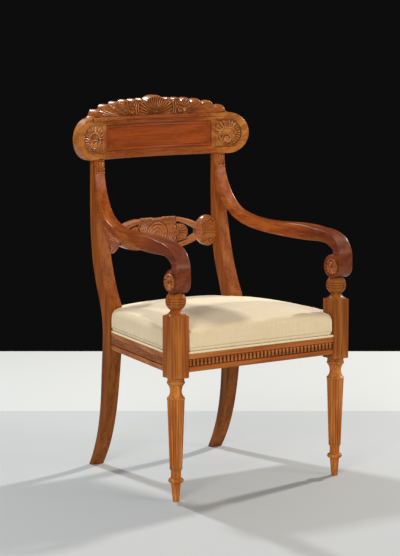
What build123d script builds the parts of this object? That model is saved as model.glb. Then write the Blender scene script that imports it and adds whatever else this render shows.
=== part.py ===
from build123d import *
import math
import os

os.makedirs("parts", exist_ok=True)

# Driving dimensions in millimetres. A setback is measured from the front legs' axis towards the back.

# Levels above the floor
rail_bottom = 318.0
show_wood_top = 361.0
rail_top = 395.0
arm_top_level = 632.0
mid_rail_level = 592.0
crest_bottom = 795.0

# Front legs
leg_x = 243.0
foot_radius = 8.0
ankle_radius = 12.0
ankle_level = 45.0
turned_fillet = 1.5
bead_radius = 19.0
bead_half_height = 5.5
lower_neck_radius = 12.5
lower_neck_length = 10.0
column_bottom = 82.0
column_bottom_radius = 15.5
column_top = 252.0
column_top_radius = 21.5
column_rim = 3.0
column_rim_overhang = 0.6
reed_root = 1.0
reed_count = 16
reed_depth = 1.9
upper_neck_radius = 14.4
upper_neck_level = 271.0
ring_radius = 22.0
ring_half_height = 5.0
ring_edge = 3.0
leg_collar_height = 7.0
block_width = 44.0
block_depth = 48.0
block_bottom = 305.0
block_top = 455.0
shoulder_height = 13.0
shoulder_hollow = 3.0
ball_neck_radius = 13.0
ball_neck_height = 2.5
ball_radius = 25.2
ball_half_height = 20.5
ball_ring_pitch = 6.0
ball_ring_width = 1.6
ball_ring_depth = 1.3
leg_pin_radius = 8.0
leg_pin_length = 22.0

# Rear posts
post_inner_x = 171.0
post_seat_width = 35.0
post_top_width = 31.7
post_foot_setback = 463.0
post_foot_depth = 16.0
post_knee_level = 140.0
post_knee_setback = 410.0
post_knee_depth = 27.0
post_calf_level = 280.0
post_calf_setback = 397.0
post_calf_depth = 38.0
post_front_setback = 354.0
post_block_depth = 41.0
post_block_top = 430.0
post_waist_level = 500.0
post_waist_forward = 23.0
post_waist_depth = 42.0
post_back_level = 600.0
post_back_forward = 4.5
post_back_depth = 33.5
post_neck_level = 700.0
post_neck_forward = 0.5
post_neck_depth = 20.0
post_top_setback = 452.0
post_top_depth = 14.0
post_edge_round = 2.0
post_tenon_length = 22.0
post_tenon_width = 15.0
post_tenon_thickness = 9.0
post_tenon_shift = 1.0

# Seat rails
rail_setback = 4.0
rail_thickness = 25.0
rear_rail_thickness = 24.0
upholstery_rebate = 6.0
tenon_thickness = 9.0
tenon_shoulder = 7.0
tenon_length = 20.0
mortise_wall = 3.0
fit_clearance = 0.15

# Ribbed mouldings
moulding_bottom = 330.0
moulding_height = 19.0
moulding_depth = 5.6
moulding_base = 2.0
rib_pitch = 11.2
rib_width = 9.8

# Crest rail
crest_height = 108.0
crest_half_width = 264.0
crest_recess = 0.3
crest_radius = 720.0
crest_thickness = 30.0
crest_edge_round = 3.0
crest_band_height = 9.0
crest_band_projection = 3.0
panel_half_width = 158.0
panel_height = 58.0
panel_depth = 4.5
panel_step = 5.0
panel_step_depth = 2.0
end_field_radius = 37.0
end_field_depth = 3.0
end_field_gap = 8.0

# Cresting
cresting_thickness = 24.0
cresting_height = 50.6
cresting_core_drop = 9.0
shell_lobe_radius = 40.0
# Lobes on each side of the shell: distance from the middle, height above the crest rail, radius
cresting_lobes = [(41.0, 43.5, 9.0), (64.0, 43.0, 14.0), (92.0, 42.0, 16.0), (122.0, 38.5, 18.0),
                  (155.0, 32.5, 20.0), (187.0, 21.0, 18.0)]

# Mid rail
mid_rail_height = 80.0
mid_rail_forward = -1.5
mid_rail_thickness = 17.0
mid_rail_tenon_length = 10.0
mid_rail_tenon_height = 30.0
mid_rail_tenon_thickness = 8.0
band_end_x = 58.0
waist_x = 122.0
waist_height = 42.0
strap_width = 11.0
strap_bulge = 4.0
fan_radius = 22.0
fan_x = 70.0
opening_tip_x = 116.0
opening_tip_height = 13.0
opening_bulge = 8.0
shell_edge_height = 30.0
roundel_radius = 32.0
roundel_rise = 3.0
roundel_ring = 6.0
button_radius = 8.0
band_rib_radius = 2.4
band_rib_x = 37.0
band_rib_pitch = 5.2
band_rib_count = 3

# Arms
arm_outer_front_x = 266.0
arm_outer_middle_x = 241.0
arm_scroll_width = 42.0
arm_middle_width = 41.0
arm_neck_flare = 13.0
arm_neck_run = 84.0
arm_thickness = 34.0
arm_tip_thickness = 9.0
arm_front = 38.0
knob_radius = 29.5
knob_cheek = 1.5
cheek_inset = 4.5
knob_flat = 1.5
knob_edge_round = 1.2
crook_depth = 5.0
crook_gap = 9.0
crook_run = 46.0
roll_start = 58.0
roll_straight = 14.0
arm_dip = 3.0
arm_joint_rise = 90.0
arm_joint_taper = 4.0
# Points of the arm's edges: distance in front of its tip, and height above the bar's top and underside
arm_upper_points = [(4.0, 120.0), (24.0, 68.0), (55.0, 30.0), (113.0, 7.0)]
arm_lower_points = [(125.0, 14.0), (67.0, 34.0), (23.0, 70.0)]
# Points of the front roll: distance in front of its start, and drop below the bar's top
arm_roll_points = [(40.0, 7.5), (74.0, 24.0), (91.5, 48.0)]
arm_edge_round = 2.5
arm_dowel_radius = 4.0
arm_dowel_length = 22.0
arm_dowel_level = 692.0
arm_dowel_pitch = 40.0

# Upholstery
seat_rise = 42.0
webbing_thickness = 1.5
webbing_width = 50.0
webbing_long_count = 5
webbing_long_pitch = 66.0
webbing_cross_count = 4
webbing_cross_pitch = 76.0
hessian_thickness = 1.0
hessian_inset = 8.0
cover_thickness = 4.7
cover_gap = 0.3
cover_setback = 1.0
crown_radius = 2300.0
crown_setback = 190.0
cover_edge_round = 10.0
cover_corner_round = 10.0
cover_notch_round = 2.5
cover_notch_gap = 1.0
piping_radius = 2.9
dust_cover_thickness = 0.8
dust_cover_inset = 8.0

# Corner blocks and screws
corner_block_height = 40.0
corner_block_lift = 9.0
corner_block_reach = 62.0
screw_radius = 2.2
screw_grip = 16.0
screw_bite = 15.0
screw_head_radius = 4.2
screw_head_height = 2.6
screw_from_tip = 17.0

# Places worked out from the dimensions
rail_height = rail_top - rail_bottom
rail_middle = (rail_top + rail_bottom) / 2
tenon_height = rail_height - 2 * tenon_shoulder
seat_crown = rail_top + seat_rise
crest_top = crest_bottom + crest_height
crest_middle = crest_bottom + crest_height / 2
end_field_x = crest_half_width - crest_height / 2
leg_inner_x = leg_x - block_width / 2
leg_back = block_depth / 2
rail_front = rail_setback - block_depth / 2
rail_back = rail_front + rail_thickness
post_outer_x = post_inner_x + post_seat_width
post_top_outer_x = post_inner_x + post_top_width
post_top_x = post_inner_x + post_top_width / 2
post_block_setback = post_front_setback + post_block_depth
post_waist_setback = post_top_setback - post_waist_forward
post_back_setback = post_top_setback - post_back_forward
post_neck_setback = post_top_setback - post_neck_forward
post_tenon_setback = post_top_setback - post_top_depth / 2 - post_tenon_shift
arm_tip_setback = post_top_setback - post_top_depth - arm_tip_thickness
crest_bow_at_post = crest_radius - math.sqrt(crest_radius ** 2 - post_top_x ** 2)
crest_setback = arm_tip_setback + crest_bow_at_post + crest_recess
mid_rail_setback = post_back_setback - mid_rail_forward
front_leg_y = -(crest_setback + crest_thickness - arm_front) / 2
side_front_x = leg_x + block_width / 2 - rail_setback
side_back_x = post_outer_x - rail_setback / 2
rear_rail_setback = post_front_setback + tenon_length + mortise_wall + tenon_thickness / 2
rear_rail_front = rear_rail_setback - rear_rail_thickness / 2
rear_rail_back = rear_rail_setback + rear_rail_thickness / 2
shoulder_top = block_top + shoulder_height
ball_level = shoulder_top + ball_neck_height + ball_half_height
ball_top = ball_level + ball_half_height
scroll_x = arm_outer_front_x - arm_scroll_width / 2
knob_setback = knob_radius - arm_front
knob_level = ball_top + knob_radius - knob_flat
webbing_top = rail_top + 2 * webbing_thickness
stuffing_bottom = webbing_top + hessian_thickness + cover_gap
cover_bottom = show_wood_top + 2 * piping_radius + 2 * cover_gap


def at(x, setback, height):
    """Point of the chair from its distance across, setback and height."""
    return (x, front_leg_y + setback, height)


def level(height):
    """Level plane: x across the chair, y the setback."""
    return Plane(origin=at(0, 0, height), x_dir=(1, 0, 0), z_dir=(0, 0, 1))


def side(x):
    """Upright plane facing the chair's right: x the setback, y the height."""
    return Plane(origin=at(x, 0, 0), x_dir=(0, 1, 0), z_dir=(1, 0, 0))


def front(setback, height=0.0):
    """Upright plane facing the front: x across the chair, y the height above a level."""
    return Plane(origin=at(0, setback, height), x_dir=(1, 0, 0), z_dir=(0, -1, 0))


def polar(radius, degrees):
    """Point at a radius and an angle."""
    angle = math.radians(degrees)
    return (radius * math.cos(angle), radius * math.sin(angle))


def crest_bow(x):
    """How far the crest's curve comes forward at a distance from the middle."""
    return crest_radius - math.sqrt(crest_radius ** 2 - x ** 2)


def curved_slab(bottom, height, setback, thickness, half_width):
    """Slab bent to the crest's curve in plan, hollow towards the sitter."""
    with BuildPart() as slab:
        with BuildSketch(level(bottom)):
            with Locations((0, setback - crest_radius)):
                Circle(crest_radius + thickness)
                Circle(crest_radius, mode=Mode.SUBTRACT)
            with Locations((0, setback)):
                Rectangle(2 * half_width, crest_radius, mode=Mode.INTERSECT)
        extrude(amount=height)
    return slab.part


def side_line_x(setback, inset=0.0):
    """Outer face of the right side rail in plan, moved inwards by an inset."""
    share = (setback - leg_back) / (post_front_setback - leg_back)
    return side_front_x + (side_back_x - side_front_x) * share - inset


def side_band(near, far):
    """Plan of a band of the right side rail between two depths inside its outer face."""
    return [
        (side_line_x(leg_back, near), leg_back),
        (side_line_x(post_front_setback, near), post_front_setback),
        (side_line_x(post_front_setback, far), post_front_setback),
        (side_line_x(leg_back, far), leg_back),
    ]


def seat_half(inset):
    """Right half of the seat's plan, notched round the leg block and the rear post."""
    notch_x = leg_inner_x - cover_notch_gap - inset
    notch_y = leg_back + cover_notch_gap + inset
    post_x = post_inner_x - cover_notch_gap - inset
    post_y = post_front_setback - cover_notch_gap - inset
    return [
        (notch_x, rail_front + cover_setback + inset),
        (notch_x, notch_y),
        (side_line_x(notch_y, inset + cover_setback), notch_y),
        (side_line_x(post_y, inset + cover_setback), post_y),
        (post_x, post_y),
        (post_x, rear_rail_back + cover_thickness + cover_gap - inset),
    ]


def seat_plan(height, inset):
    """Plan of the whole seat at a height."""
    right = seat_half(inset)
    left = [(-x, y) for x, y in reversed(right)]
    with BuildSketch(level(height)) as plan:
        with BuildLine():
            Polyline(*right, *left, close=True)
        make_face()
    return plan.sketch


def crowned_seat(bottom, inset, drop):
    """Seat body from a level up to the crown, with rounded upright corners and top edge."""
    center = at(0, crown_setback, seat_crown - crown_radius)
    with BuildPart() as body:
        extrude(seat_plan(bottom, inset), amount=seat_crown - bottom)
        upright = body.edges().filter_by(Axis.Z)
        notches = [e for e in upright if is_notch(e.center(), inset)]
        corners = [e for e in upright if not is_notch(e.center(), inset)]
        fillet(notches, cover_notch_round + inset)
        fillet(corners, cover_corner_round - inset / 2)
        with Locations(center):
            Sphere(crown_radius - drop, mode=Mode.INTERSECT)
        rim = body.faces().sort_by(Axis.Z)[-1].outer_wire().edges()
        fillet(rim, cover_edge_round - inset / 2)
    return body.part


def is_notch(point, inset):
    """True where the seat's plan turns inwards round a leg block or a rear post."""
    half = seat_half(inset)
    spots = (half[1], half[4])
    return any(math.dist((abs(point.X), point.Y - front_leg_y), spot) < fit_clearance for spot in spots)


def reeded_section(hand, height, crest):
    """Round section of the reeded column, one arc for each reed."""
    half = 180.0 / reed_count
    with BuildSketch(Plane(origin=at(hand * leg_x, 0, height))) as section:
        with BuildLine():
            for i in range(reed_count):
                start = polar(crest - reed_depth, (2 * i - 1) * half)
                end = polar(crest - reed_depth, (2 * i + 1) * half)
                ThreePointArc(start, polar(crest, 2 * i * half), end)
        make_face()
    return section.sketch


def ribbed_strip(plane, length):
    """Plan of a ribbed moulding: a thin base with half-round ribs along it."""
    rise = moulding_depth - moulding_base
    radius = (rib_width ** 2 / 4 + rise ** 2) / (2 * rise)
    with BuildSketch(plane) as strip:
        with Locations((length / 2, rise - radius)):
            with GridLocations(rib_pitch, 1, int(length // rib_pitch), 1):
                Circle(radius)
        with Locations((length / 2, -radius)):
            Rectangle(length, 2 * radius, mode=Mode.SUBTRACT)
        with Locations((length / 2, -moulding_base / 2)):
            Rectangle(length, moulding_base)
    return strip.sketch


def arm_face_setback(height):
    """Rough setback of the face between arm and rear post, used to place the dowels."""
    share = (height - post_neck_level) / (crest_bottom - post_neck_level)
    neck = post_neck_setback - post_neck_depth
    return neck + (post_top_setback - post_top_depth - neck) * share


def screw_sites(hand):
    """Planes on the inner faces of the rails, looking into the wood, where the block screws go in."""
    slope = Vector(side_back_x - side_front_x, post_front_setback - leg_back, 0).normalized()
    outwards = (hand * slope.Y, -slope.X, 0)
    reach = corner_block_reach - screw_from_tip
    height = rail_bottom + corner_block_lift + corner_block_height / 2
    front_y = leg_back + reach
    rear_y = post_front_setback - reach
    return {
        "front": Plane(origin=at(hand * (leg_inner_x - reach), rail_back, height), z_dir=(0, -1, 0)),
        "rear": Plane(origin=at(hand * (post_inner_x - reach), rear_rail_front, height), z_dir=(0, 1, 0)),
        "front_side": Plane(origin=at(hand * side_line_x(front_y, rail_thickness), front_y, height),
                            z_dir=outwards),
        "rear_side": Plane(origin=at(hand * side_line_x(rear_y, rail_thickness), rear_y, height),
                           z_dir=outwards),
    }


right_sites = screw_sites(1)
left_sites = screw_sites(-1)
arm_dowel_heights = (arm_dowel_level, arm_dowel_level + arm_dowel_pitch)
arm_dowel_places = [at(post_top_x, arm_face_setback(z), z) for z in arm_dowel_heights]
mid_rail_end_setback = mid_rail_setback - crest_bow(post_inner_x) + mid_rail_thickness / 2
mid_rail_mortise = mid_rail_tenon_length + fit_clearance


# Front leg: turned foot, reeded column, square block, hollow shoulder and ringed ball with its pin
bead_level = ankle_level + turned_fillet + bead_half_height
bead_root = ankle_radius + turned_fillet
ring_level = block_bottom - leg_collar_height - ring_half_height
ring_root = ring_radius - ring_edge
leg_collar_radius = ring_radius - turned_fillet
lower_rim_radius = column_bottom_radius + column_rim_overhang
upper_rim_radius = column_top_radius + column_rim_overhang
reed_core = reed_depth + reed_root
block_corner = math.hypot(block_width, block_depth) / 2
side_tenon_front_x = side_front_x - rail_thickness / 2
side_tenon_back_x = side_back_x - rail_thickness / 2
rail_tenon_setback = rail_front + rail_thickness / 2
mortise_across = tenon_thickness + 2 * fit_clearance
mortise_along = 2 * (tenon_length + fit_clearance)
mortise_height = tenon_height + 2 * fit_clearance

def front_leg(hand):
    """One front leg, with its mortises turned towards the seat."""
    axis = Axis(at(hand * leg_x, 0, 0), (0, 0, 1))
    plane = Plane(origin=at(hand * leg_x, 0, 0), x_dir=(1, 0, 0), z_dir=(0, -1, 0))
    with BuildPart() as leg:
        with BuildSketch(plane):
            with BuildLine():
                Polyline((0, 0), (foot_radius, 0), (ankle_radius, ankle_level),
                         (bead_root, bead_level - bead_half_height))
                ThreePointArc((bead_root, bead_level - bead_half_height), (bead_radius, bead_level),
                              (bead_root, bead_level + bead_half_height))
                Polyline((bead_root, bead_level + bead_half_height),
                         (lower_neck_radius, bead_level + bead_half_height + turned_fillet),
                         (lower_neck_radius, column_bottom - lower_neck_length))
                TangentArc((lower_neck_radius, column_bottom - lower_neck_length),
                           (lower_rim_radius, column_bottom), tangent=(0, 1))
                Polyline((lower_rim_radius, column_bottom), (column_bottom_radius - reed_core, column_bottom),
                         (column_top_radius - reed_core, column_top), (upper_rim_radius, column_top),
                         (upper_rim_radius, column_top + column_rim))
                TangentArc((upper_neck_radius, upper_neck_level), (upper_rim_radius, column_top + column_rim),
                           tangent=(0, -1))
                TangentArc((upper_neck_radius, upper_neck_level), (ring_root, ring_level - ring_half_height),
                           tangent=(0, 1))
                ThreePointArc((ring_root, ring_level - ring_half_height), (ring_radius, ring_level),
                              (ring_root, ring_level + ring_half_height))
                Polyline((ring_root, ring_level + ring_half_height),
                         (leg_collar_radius, ring_level + ring_half_height),
                         (leg_collar_radius, block_bottom), (0, block_bottom), (0, 0))
            make_face()
        revolve(axis=axis)
        loft([reeded_section(hand, column_bottom, column_bottom_radius),
              reeded_section(hand, column_top, column_top_radius)], ruled=True)
        with BuildSketch(level(block_bottom)):
            with Locations((hand * leg_x, 0)):
                Rectangle(block_width, block_depth)
        extrude(amount=shoulder_top - block_bottom)
        with BuildSketch(plane):
            with BuildLine():
                ThreePointArc((block_corner, block_top),
                              ((block_corner + ball_neck_radius) / 2, block_top + shoulder_hollow),
                              (ball_neck_radius, shoulder_top))
                Polyline((ball_neck_radius, shoulder_top), (2 * block_corner, shoulder_top),
                         (2 * block_corner, block_top), (block_corner, block_top))
            make_face()
        revolve(axis=axis, mode=Mode.SUBTRACT)
        with BuildSketch(plane):
            with Locations((0, ball_level)):
                Circle(ball_radius)
                Rectangle(2 * ball_radius, 2 * ball_half_height, mode=Mode.INTERSECT)
            with Locations((0, shoulder_top)):
                Rectangle(2 * ball_neck_radius, 3 * ball_neck_height)
            with Locations((0, ball_top)):
                Rectangle(2 * leg_pin_radius, 2 * leg_pin_length)
            for step in (-ball_ring_pitch, 0, ball_ring_pitch):
                with Locations((math.sqrt(ball_radius ** 2 - step ** 2), ball_level + step)):
                    Rectangle(2 * ball_ring_depth, ball_ring_width, mode=Mode.SUBTRACT)
            with Locations((-ball_radius, ball_level)):
                Rectangle(2 * ball_radius, 4 * ball_radius, mode=Mode.SUBTRACT)
        revolve(axis=axis)
        with Locations(at(hand * leg_inner_x, rail_tenon_setback, rail_middle)):
            Box(mortise_along, mortise_across, mortise_height, mode=Mode.SUBTRACT)
        with Locations(at(hand * side_tenon_front_x, leg_back, rail_middle)):
            Box(mortise_across, mortise_along, mortise_height, mode=Mode.SUBTRACT)
    return leg


front_leg_right = front_leg(1)
front_leg_left = front_leg(-1)


# Rear post: sabre leg, squared part at the seat and upright in one sweep
post_front_line = [(post_top_setback - post_top_depth, crest_bottom),
                   (post_neck_setback - post_neck_depth, post_neck_level),
                   (post_back_setback - post_back_depth, post_back_level),
                   (post_waist_setback - post_waist_depth, post_waist_level),
                   (post_front_setback, post_block_top)]

with BuildPart() as rear_post_right:
    with BuildSketch(side(post_inner_x)):
        with BuildLine():
            Line((post_foot_setback - post_foot_depth, 0), (post_foot_setback, 0))
            Spline((post_foot_setback, 0), (post_knee_setback, post_knee_level),
                   (post_calf_setback, post_calf_level), (post_block_setback, rail_top),
                   (post_waist_setback, post_waist_level), (post_back_setback, post_back_level),
                   (post_neck_setback, post_neck_level), (post_top_setback, crest_bottom))
            Line((post_top_setback, crest_bottom), (post_top_setback - post_top_depth, crest_bottom))
            Spline(*post_front_line)
            Line((post_front_setback, post_block_top), (post_front_setback, rail_bottom))
            Spline((post_front_setback, rail_bottom),
                   (post_calf_setback - post_calf_depth, post_calf_level),
                   (post_knee_setback - post_knee_depth, post_knee_level),
                   (post_foot_setback - post_foot_depth, 0))
        make_face()
    extrude(amount=post_seat_width)
    fillet(rear_post_right.edges().filter_by(GeomType.BSPLINE), post_edge_round)
    with BuildSketch(front(0)):
        with BuildLine():
            Polyline((post_inner_x, 0), (post_outer_x, 0), (post_outer_x, post_block_top),
                     (post_top_outer_x, crest_bottom), (post_inner_x, crest_bottom), close=True)
        make_face()
    extrude(amount=-2 * post_foot_setback, mode=Mode.INTERSECT)
    with Locations(at(post_top_x, post_tenon_setback, crest_bottom)):
        Box(post_tenon_width, post_tenon_thickness, 2 * post_tenon_length)
    with Locations(at(side_tenon_back_x, post_front_setback, rail_middle)):
        Box(mortise_across, mortise_along, mortise_height, mode=Mode.SUBTRACT)
    with Locations(at(post_inner_x, rear_rail_setback, rail_middle)):
        Box(mortise_along, mortise_across, mortise_height, mode=Mode.SUBTRACT)
    with Locations(at(post_inner_x, mid_rail_end_setback, mid_rail_level)):
        Box(2 * mid_rail_mortise, mid_rail_tenon_thickness + 2 * fit_clearance,
            mid_rail_tenon_height + 2 * fit_clearance, mode=Mode.SUBTRACT)
    with Locations(*arm_dowel_places):
        Cylinder(arm_dowel_radius + fit_clearance, arm_dowel_length + 2 * fit_clearance, rotation=(90, 0, 0),
                 mode=Mode.SUBTRACT)


# Front seat rail: show-wood below, rebate for the cloth above, groove for the moulding
groove_depth = moulding_depth + fit_clearance
groove_height = moulding_height + 2 * fit_clearance
moulding_middle = moulding_bottom + moulding_height / 2

with BuildPart() as front_seat_rail:
    with Locations(at(0, rail_tenon_setback, rail_middle)):
        Box(2 * leg_inner_x, rail_thickness, rail_height)
        Box(2 * (leg_inner_x + tenon_length), tenon_thickness, tenon_height)
    with Locations(at(0, rail_front, (show_wood_top + rail_top) / 2)):
        Box(2 * leg_inner_x, 2 * upholstery_rebate, rail_top - show_wood_top, mode=Mode.SUBTRACT)
    with Locations(at(0, rail_front, moulding_middle)):
        Box(2 * leg_inner_x, 2 * groove_depth, groove_height, mode=Mode.SUBTRACT)
    with Locations(right_sites["front"], left_sites["front"]):
        Cylinder(screw_radius + fit_clearance, 2 * screw_bite, mode=Mode.SUBTRACT)


# Side seat rail: the same section, running in towards the back
with BuildPart() as side_rail_right:
    with BuildSketch(level(rail_bottom)):
        with BuildLine():
            Polyline(*side_band(0, rail_thickness), close=True)
        make_face()
    extrude(amount=rail_height)
    with Locations(at(side_tenon_front_x, leg_back, rail_middle),
                   at(side_tenon_back_x, post_front_setback, rail_middle)):
        Box(tenon_thickness, 2 * tenon_length, tenon_height)
    with BuildSketch(level(show_wood_top)):
        with BuildLine():
            Polyline(*side_band(-rail_setback, upholstery_rebate), close=True)
        make_face()
    extrude(amount=rail_top - show_wood_top, mode=Mode.SUBTRACT)
    with BuildSketch(level(moulding_bottom - fit_clearance)):
        with BuildLine():
            Polyline(*side_band(-rail_setback, groove_depth), close=True)
        make_face()
    extrude(amount=groove_height, mode=Mode.SUBTRACT)
    with Locations(right_sites["front_side"], right_sites["rear_side"]):
        Cylinder(screw_radius + fit_clearance, 2 * screw_bite, mode=Mode.SUBTRACT)


# Rear seat rail, hidden behind the cloth
with BuildPart() as rear_seat_rail:
    with Locations(at(0, rear_rail_setback, rail_middle)):
        Box(2 * post_inner_x, rear_rail_thickness, rail_height)
        Box(2 * (post_inner_x + tenon_length), tenon_thickness, tenon_height)
    with Locations(right_sites["rear"], left_sites["rear"]):
        Cylinder(screw_radius + fit_clearance, 2 * screw_bite, mode=Mode.SUBTRACT)


# Ribbed mouldings, let into the grooves of the front and side rails
front_strip_length = 2 * (leg_inner_x - fit_clearance)
front_strip_plane = Plane(origin=at(front_strip_length / 2, rail_front + moulding_depth - moulding_base,
                                    moulding_bottom), x_dir=(-1, 0, 0), z_dir=(0, 0, 1))
strip_inset = moulding_depth - moulding_base
side_skew = moulding_depth * (side_front_x - side_back_x) / (post_front_setback - leg_back) + fit_clearance
side_strip_back_x = side_line_x(post_front_setback, strip_inset)
side_strip_back = Vector(*at(side_strip_back_x, post_front_setback, moulding_bottom))
side_strip_front = Vector(*at(side_line_x(leg_back, strip_inset), leg_back, moulding_bottom))
side_strip_run = side_strip_front - side_strip_back
side_strip_plane = Plane(origin=side_strip_back + side_strip_run.normalized() * side_skew,
                         x_dir=side_strip_run, z_dir=(0, 0, 1))

with BuildPart() as front_rail_moulding:
    extrude(ribbed_strip(front_strip_plane, front_strip_length), amount=moulding_height)

with BuildPart() as side_moulding_right:
    extrude(ribbed_strip(side_strip_plane, side_strip_run.length - 2 * side_skew), amount=moulding_height)


# Corner blocks, glued and screwed into the four corners of the seat frame
corner_block_bottom = rail_bottom + corner_block_lift

with BuildPart() as front_corner_block_right:
    with BuildSketch(level(corner_block_bottom)):
        with BuildLine():
            tip = leg_back + corner_block_reach
            Polyline((leg_inner_x - corner_block_reach, rail_back), (leg_inner_x, rail_back),
                     (leg_inner_x, leg_back), (side_line_x(leg_back, rail_thickness), leg_back),
                     (side_line_x(tip, rail_thickness), tip), close=True)
        make_face()
    extrude(amount=corner_block_height)
    for site in (right_sites["front"], right_sites["front_side"]):
        with Locations(site):
            Cylinder(screw_radius + fit_clearance, 2 * screw_grip, mode=Mode.SUBTRACT)
        with Locations(site.offset(-screw_grip)):
            Cylinder(screw_head_radius + fit_clearance, corner_block_reach,
                     align=(Align.CENTER, Align.CENTER, Align.MAX), mode=Mode.SUBTRACT)

with BuildPart() as rear_corner_block_right:
    with BuildSketch(level(corner_block_bottom)):
        with BuildLine():
            tip = post_front_setback - corner_block_reach
            Polyline((post_inner_x - corner_block_reach, rear_rail_front), (post_inner_x, rear_rail_front),
                     (post_inner_x, post_front_setback),
                     (side_line_x(post_front_setback, rail_thickness), post_front_setback),
                     (side_line_x(tip, rail_thickness), tip), close=True)
        make_face()
    extrude(amount=corner_block_height)
    for site in (right_sites["rear"], right_sites["rear_side"]):
        with Locations(site):
            Cylinder(screw_radius + fit_clearance, 2 * screw_grip, mode=Mode.SUBTRACT)
        with Locations(site.offset(-screw_grip)):
            Cylinder(screw_head_radius + fit_clearance, corner_block_reach,
                     align=(Align.CENTER, Align.CENTER, Align.MAX), mode=Mode.SUBTRACT)

with BuildPart() as corner_block_screws:
    for site in (*right_sites.values(), *left_sites.values()):
        with Locations(site.offset(-screw_grip)):
            Cylinder(screw_radius, screw_grip + screw_bite, align=(Align.CENTER, Align.CENTER, Align.MIN))
            Cylinder(screw_head_radius, screw_head_height, align=(Align.CENTER, Align.CENTER, Align.MAX))


# Crest rail: curved tablet with round ends, top band, sunk panel and D-shaped end fields
panel_bottom = crest_middle - panel_height / 2
with BuildPart() as crest_rail:
    add(curved_slab(crest_bottom, crest_height, crest_setback, crest_thickness, crest_half_width))
    with BuildSketch(front(0)):
        with Locations((0, crest_middle)):
            SlotOverall(2 * crest_half_width, crest_height)
    extrude(amount=-2 * crest_setback, mode=Mode.INTERSECT)
    fillet(crest_rail.edges().filter_by(Axis.Y, reverse=True), crest_edge_round)
    add(curved_slab(crest_top - crest_band_height, crest_band_height, crest_setback - crest_band_projection,
                    2 * crest_band_projection, end_field_x))
    add(curved_slab(panel_bottom - panel_step, panel_height + 2 * panel_step, crest_setback - panel_step,
                    panel_step + panel_step_depth, panel_half_width + panel_step), mode=Mode.SUBTRACT)
    add(curved_slab(panel_bottom, panel_height, crest_setback - panel_depth, 2 * panel_depth,
                    panel_half_width), mode=Mode.SUBTRACT)
    for hand in (1, -1):
        turn = math.asin(end_field_x / crest_radius)
        facing = Plane(origin=at(hand * end_field_x, crest_setback - crest_bow(end_field_x), crest_middle),
                       x_dir=(math.cos(turn), -hand * math.sin(turn), 0),
                       z_dir=(-hand * math.sin(turn), -math.cos(turn), 0))
        field_reach = end_field_x - panel_half_width - panel_step - end_field_gap
        with BuildSketch(facing.offset(-end_field_depth)):
            Circle(end_field_radius)
            with Locations((-hand * field_reach / 2, 0)):
                Rectangle(field_reach, 2 * end_field_radius)
            with Locations((-hand * (field_reach + end_field_radius), 0)):
                Rectangle(2 * end_field_radius, 2 * end_field_radius, mode=Mode.SUBTRACT)
        extrude(amount=2 * end_field_depth, mode=Mode.SUBTRACT)
    with Locations(at(post_top_x, post_tenon_setback, crest_bottom),
                   at(-post_top_x, post_tenon_setback, crest_bottom)):
        Box(post_tenon_width + 2 * fit_clearance, post_tenon_thickness + 2 * fit_clearance,
            2 * (post_tenon_length + fit_clearance), mode=Mode.SUBTRACT)


# Cresting: lobed arch of shell, scrolls and leaves standing on the crest rail
with BuildPart() as cresting:
    with BuildSketch(front(0)):
        with Locations((0, crest_top + cresting_height - shell_lobe_radius)):
            Circle(shell_lobe_radius)
        for lobe_x, lobe_rise, lobe_radius in cresting_lobes:
            lobe_level = crest_top + lobe_rise - lobe_radius
            with Locations((lobe_x, lobe_level), (-lobe_x, lobe_level)):
                Circle(lobe_radius)
        with BuildLine():
            core = [(x, crest_top + rise - cresting_core_drop) for x, rise, radius in cresting_lobes]
            Polyline((end_field_x, crest_top), *reversed(core), *[(-x, z) for x, z in core],
                     (-end_field_x, crest_top), close=True)
        make_face()
        with Locations((0, crest_top - crest_height / 2)):
            Rectangle(2 * crest_half_width, crest_height, mode=Mode.SUBTRACT)
    extrude(amount=-2 * crest_setback)
    add(curved_slab(crest_top, cresting_height, crest_setback + (crest_thickness - cresting_thickness) / 2,
                    cresting_thickness, crest_half_width), mode=Mode.INTERSECT)


# Mid rail: pierced bar with a turned roundel, ribbed bands, fans inside open straps, and end shells
half_height = mid_rail_height / 2
half_waist = waist_height / 2
strap_inner = half_height - strap_width
mid_rail_plane = front(0, mid_rail_level)

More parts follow.
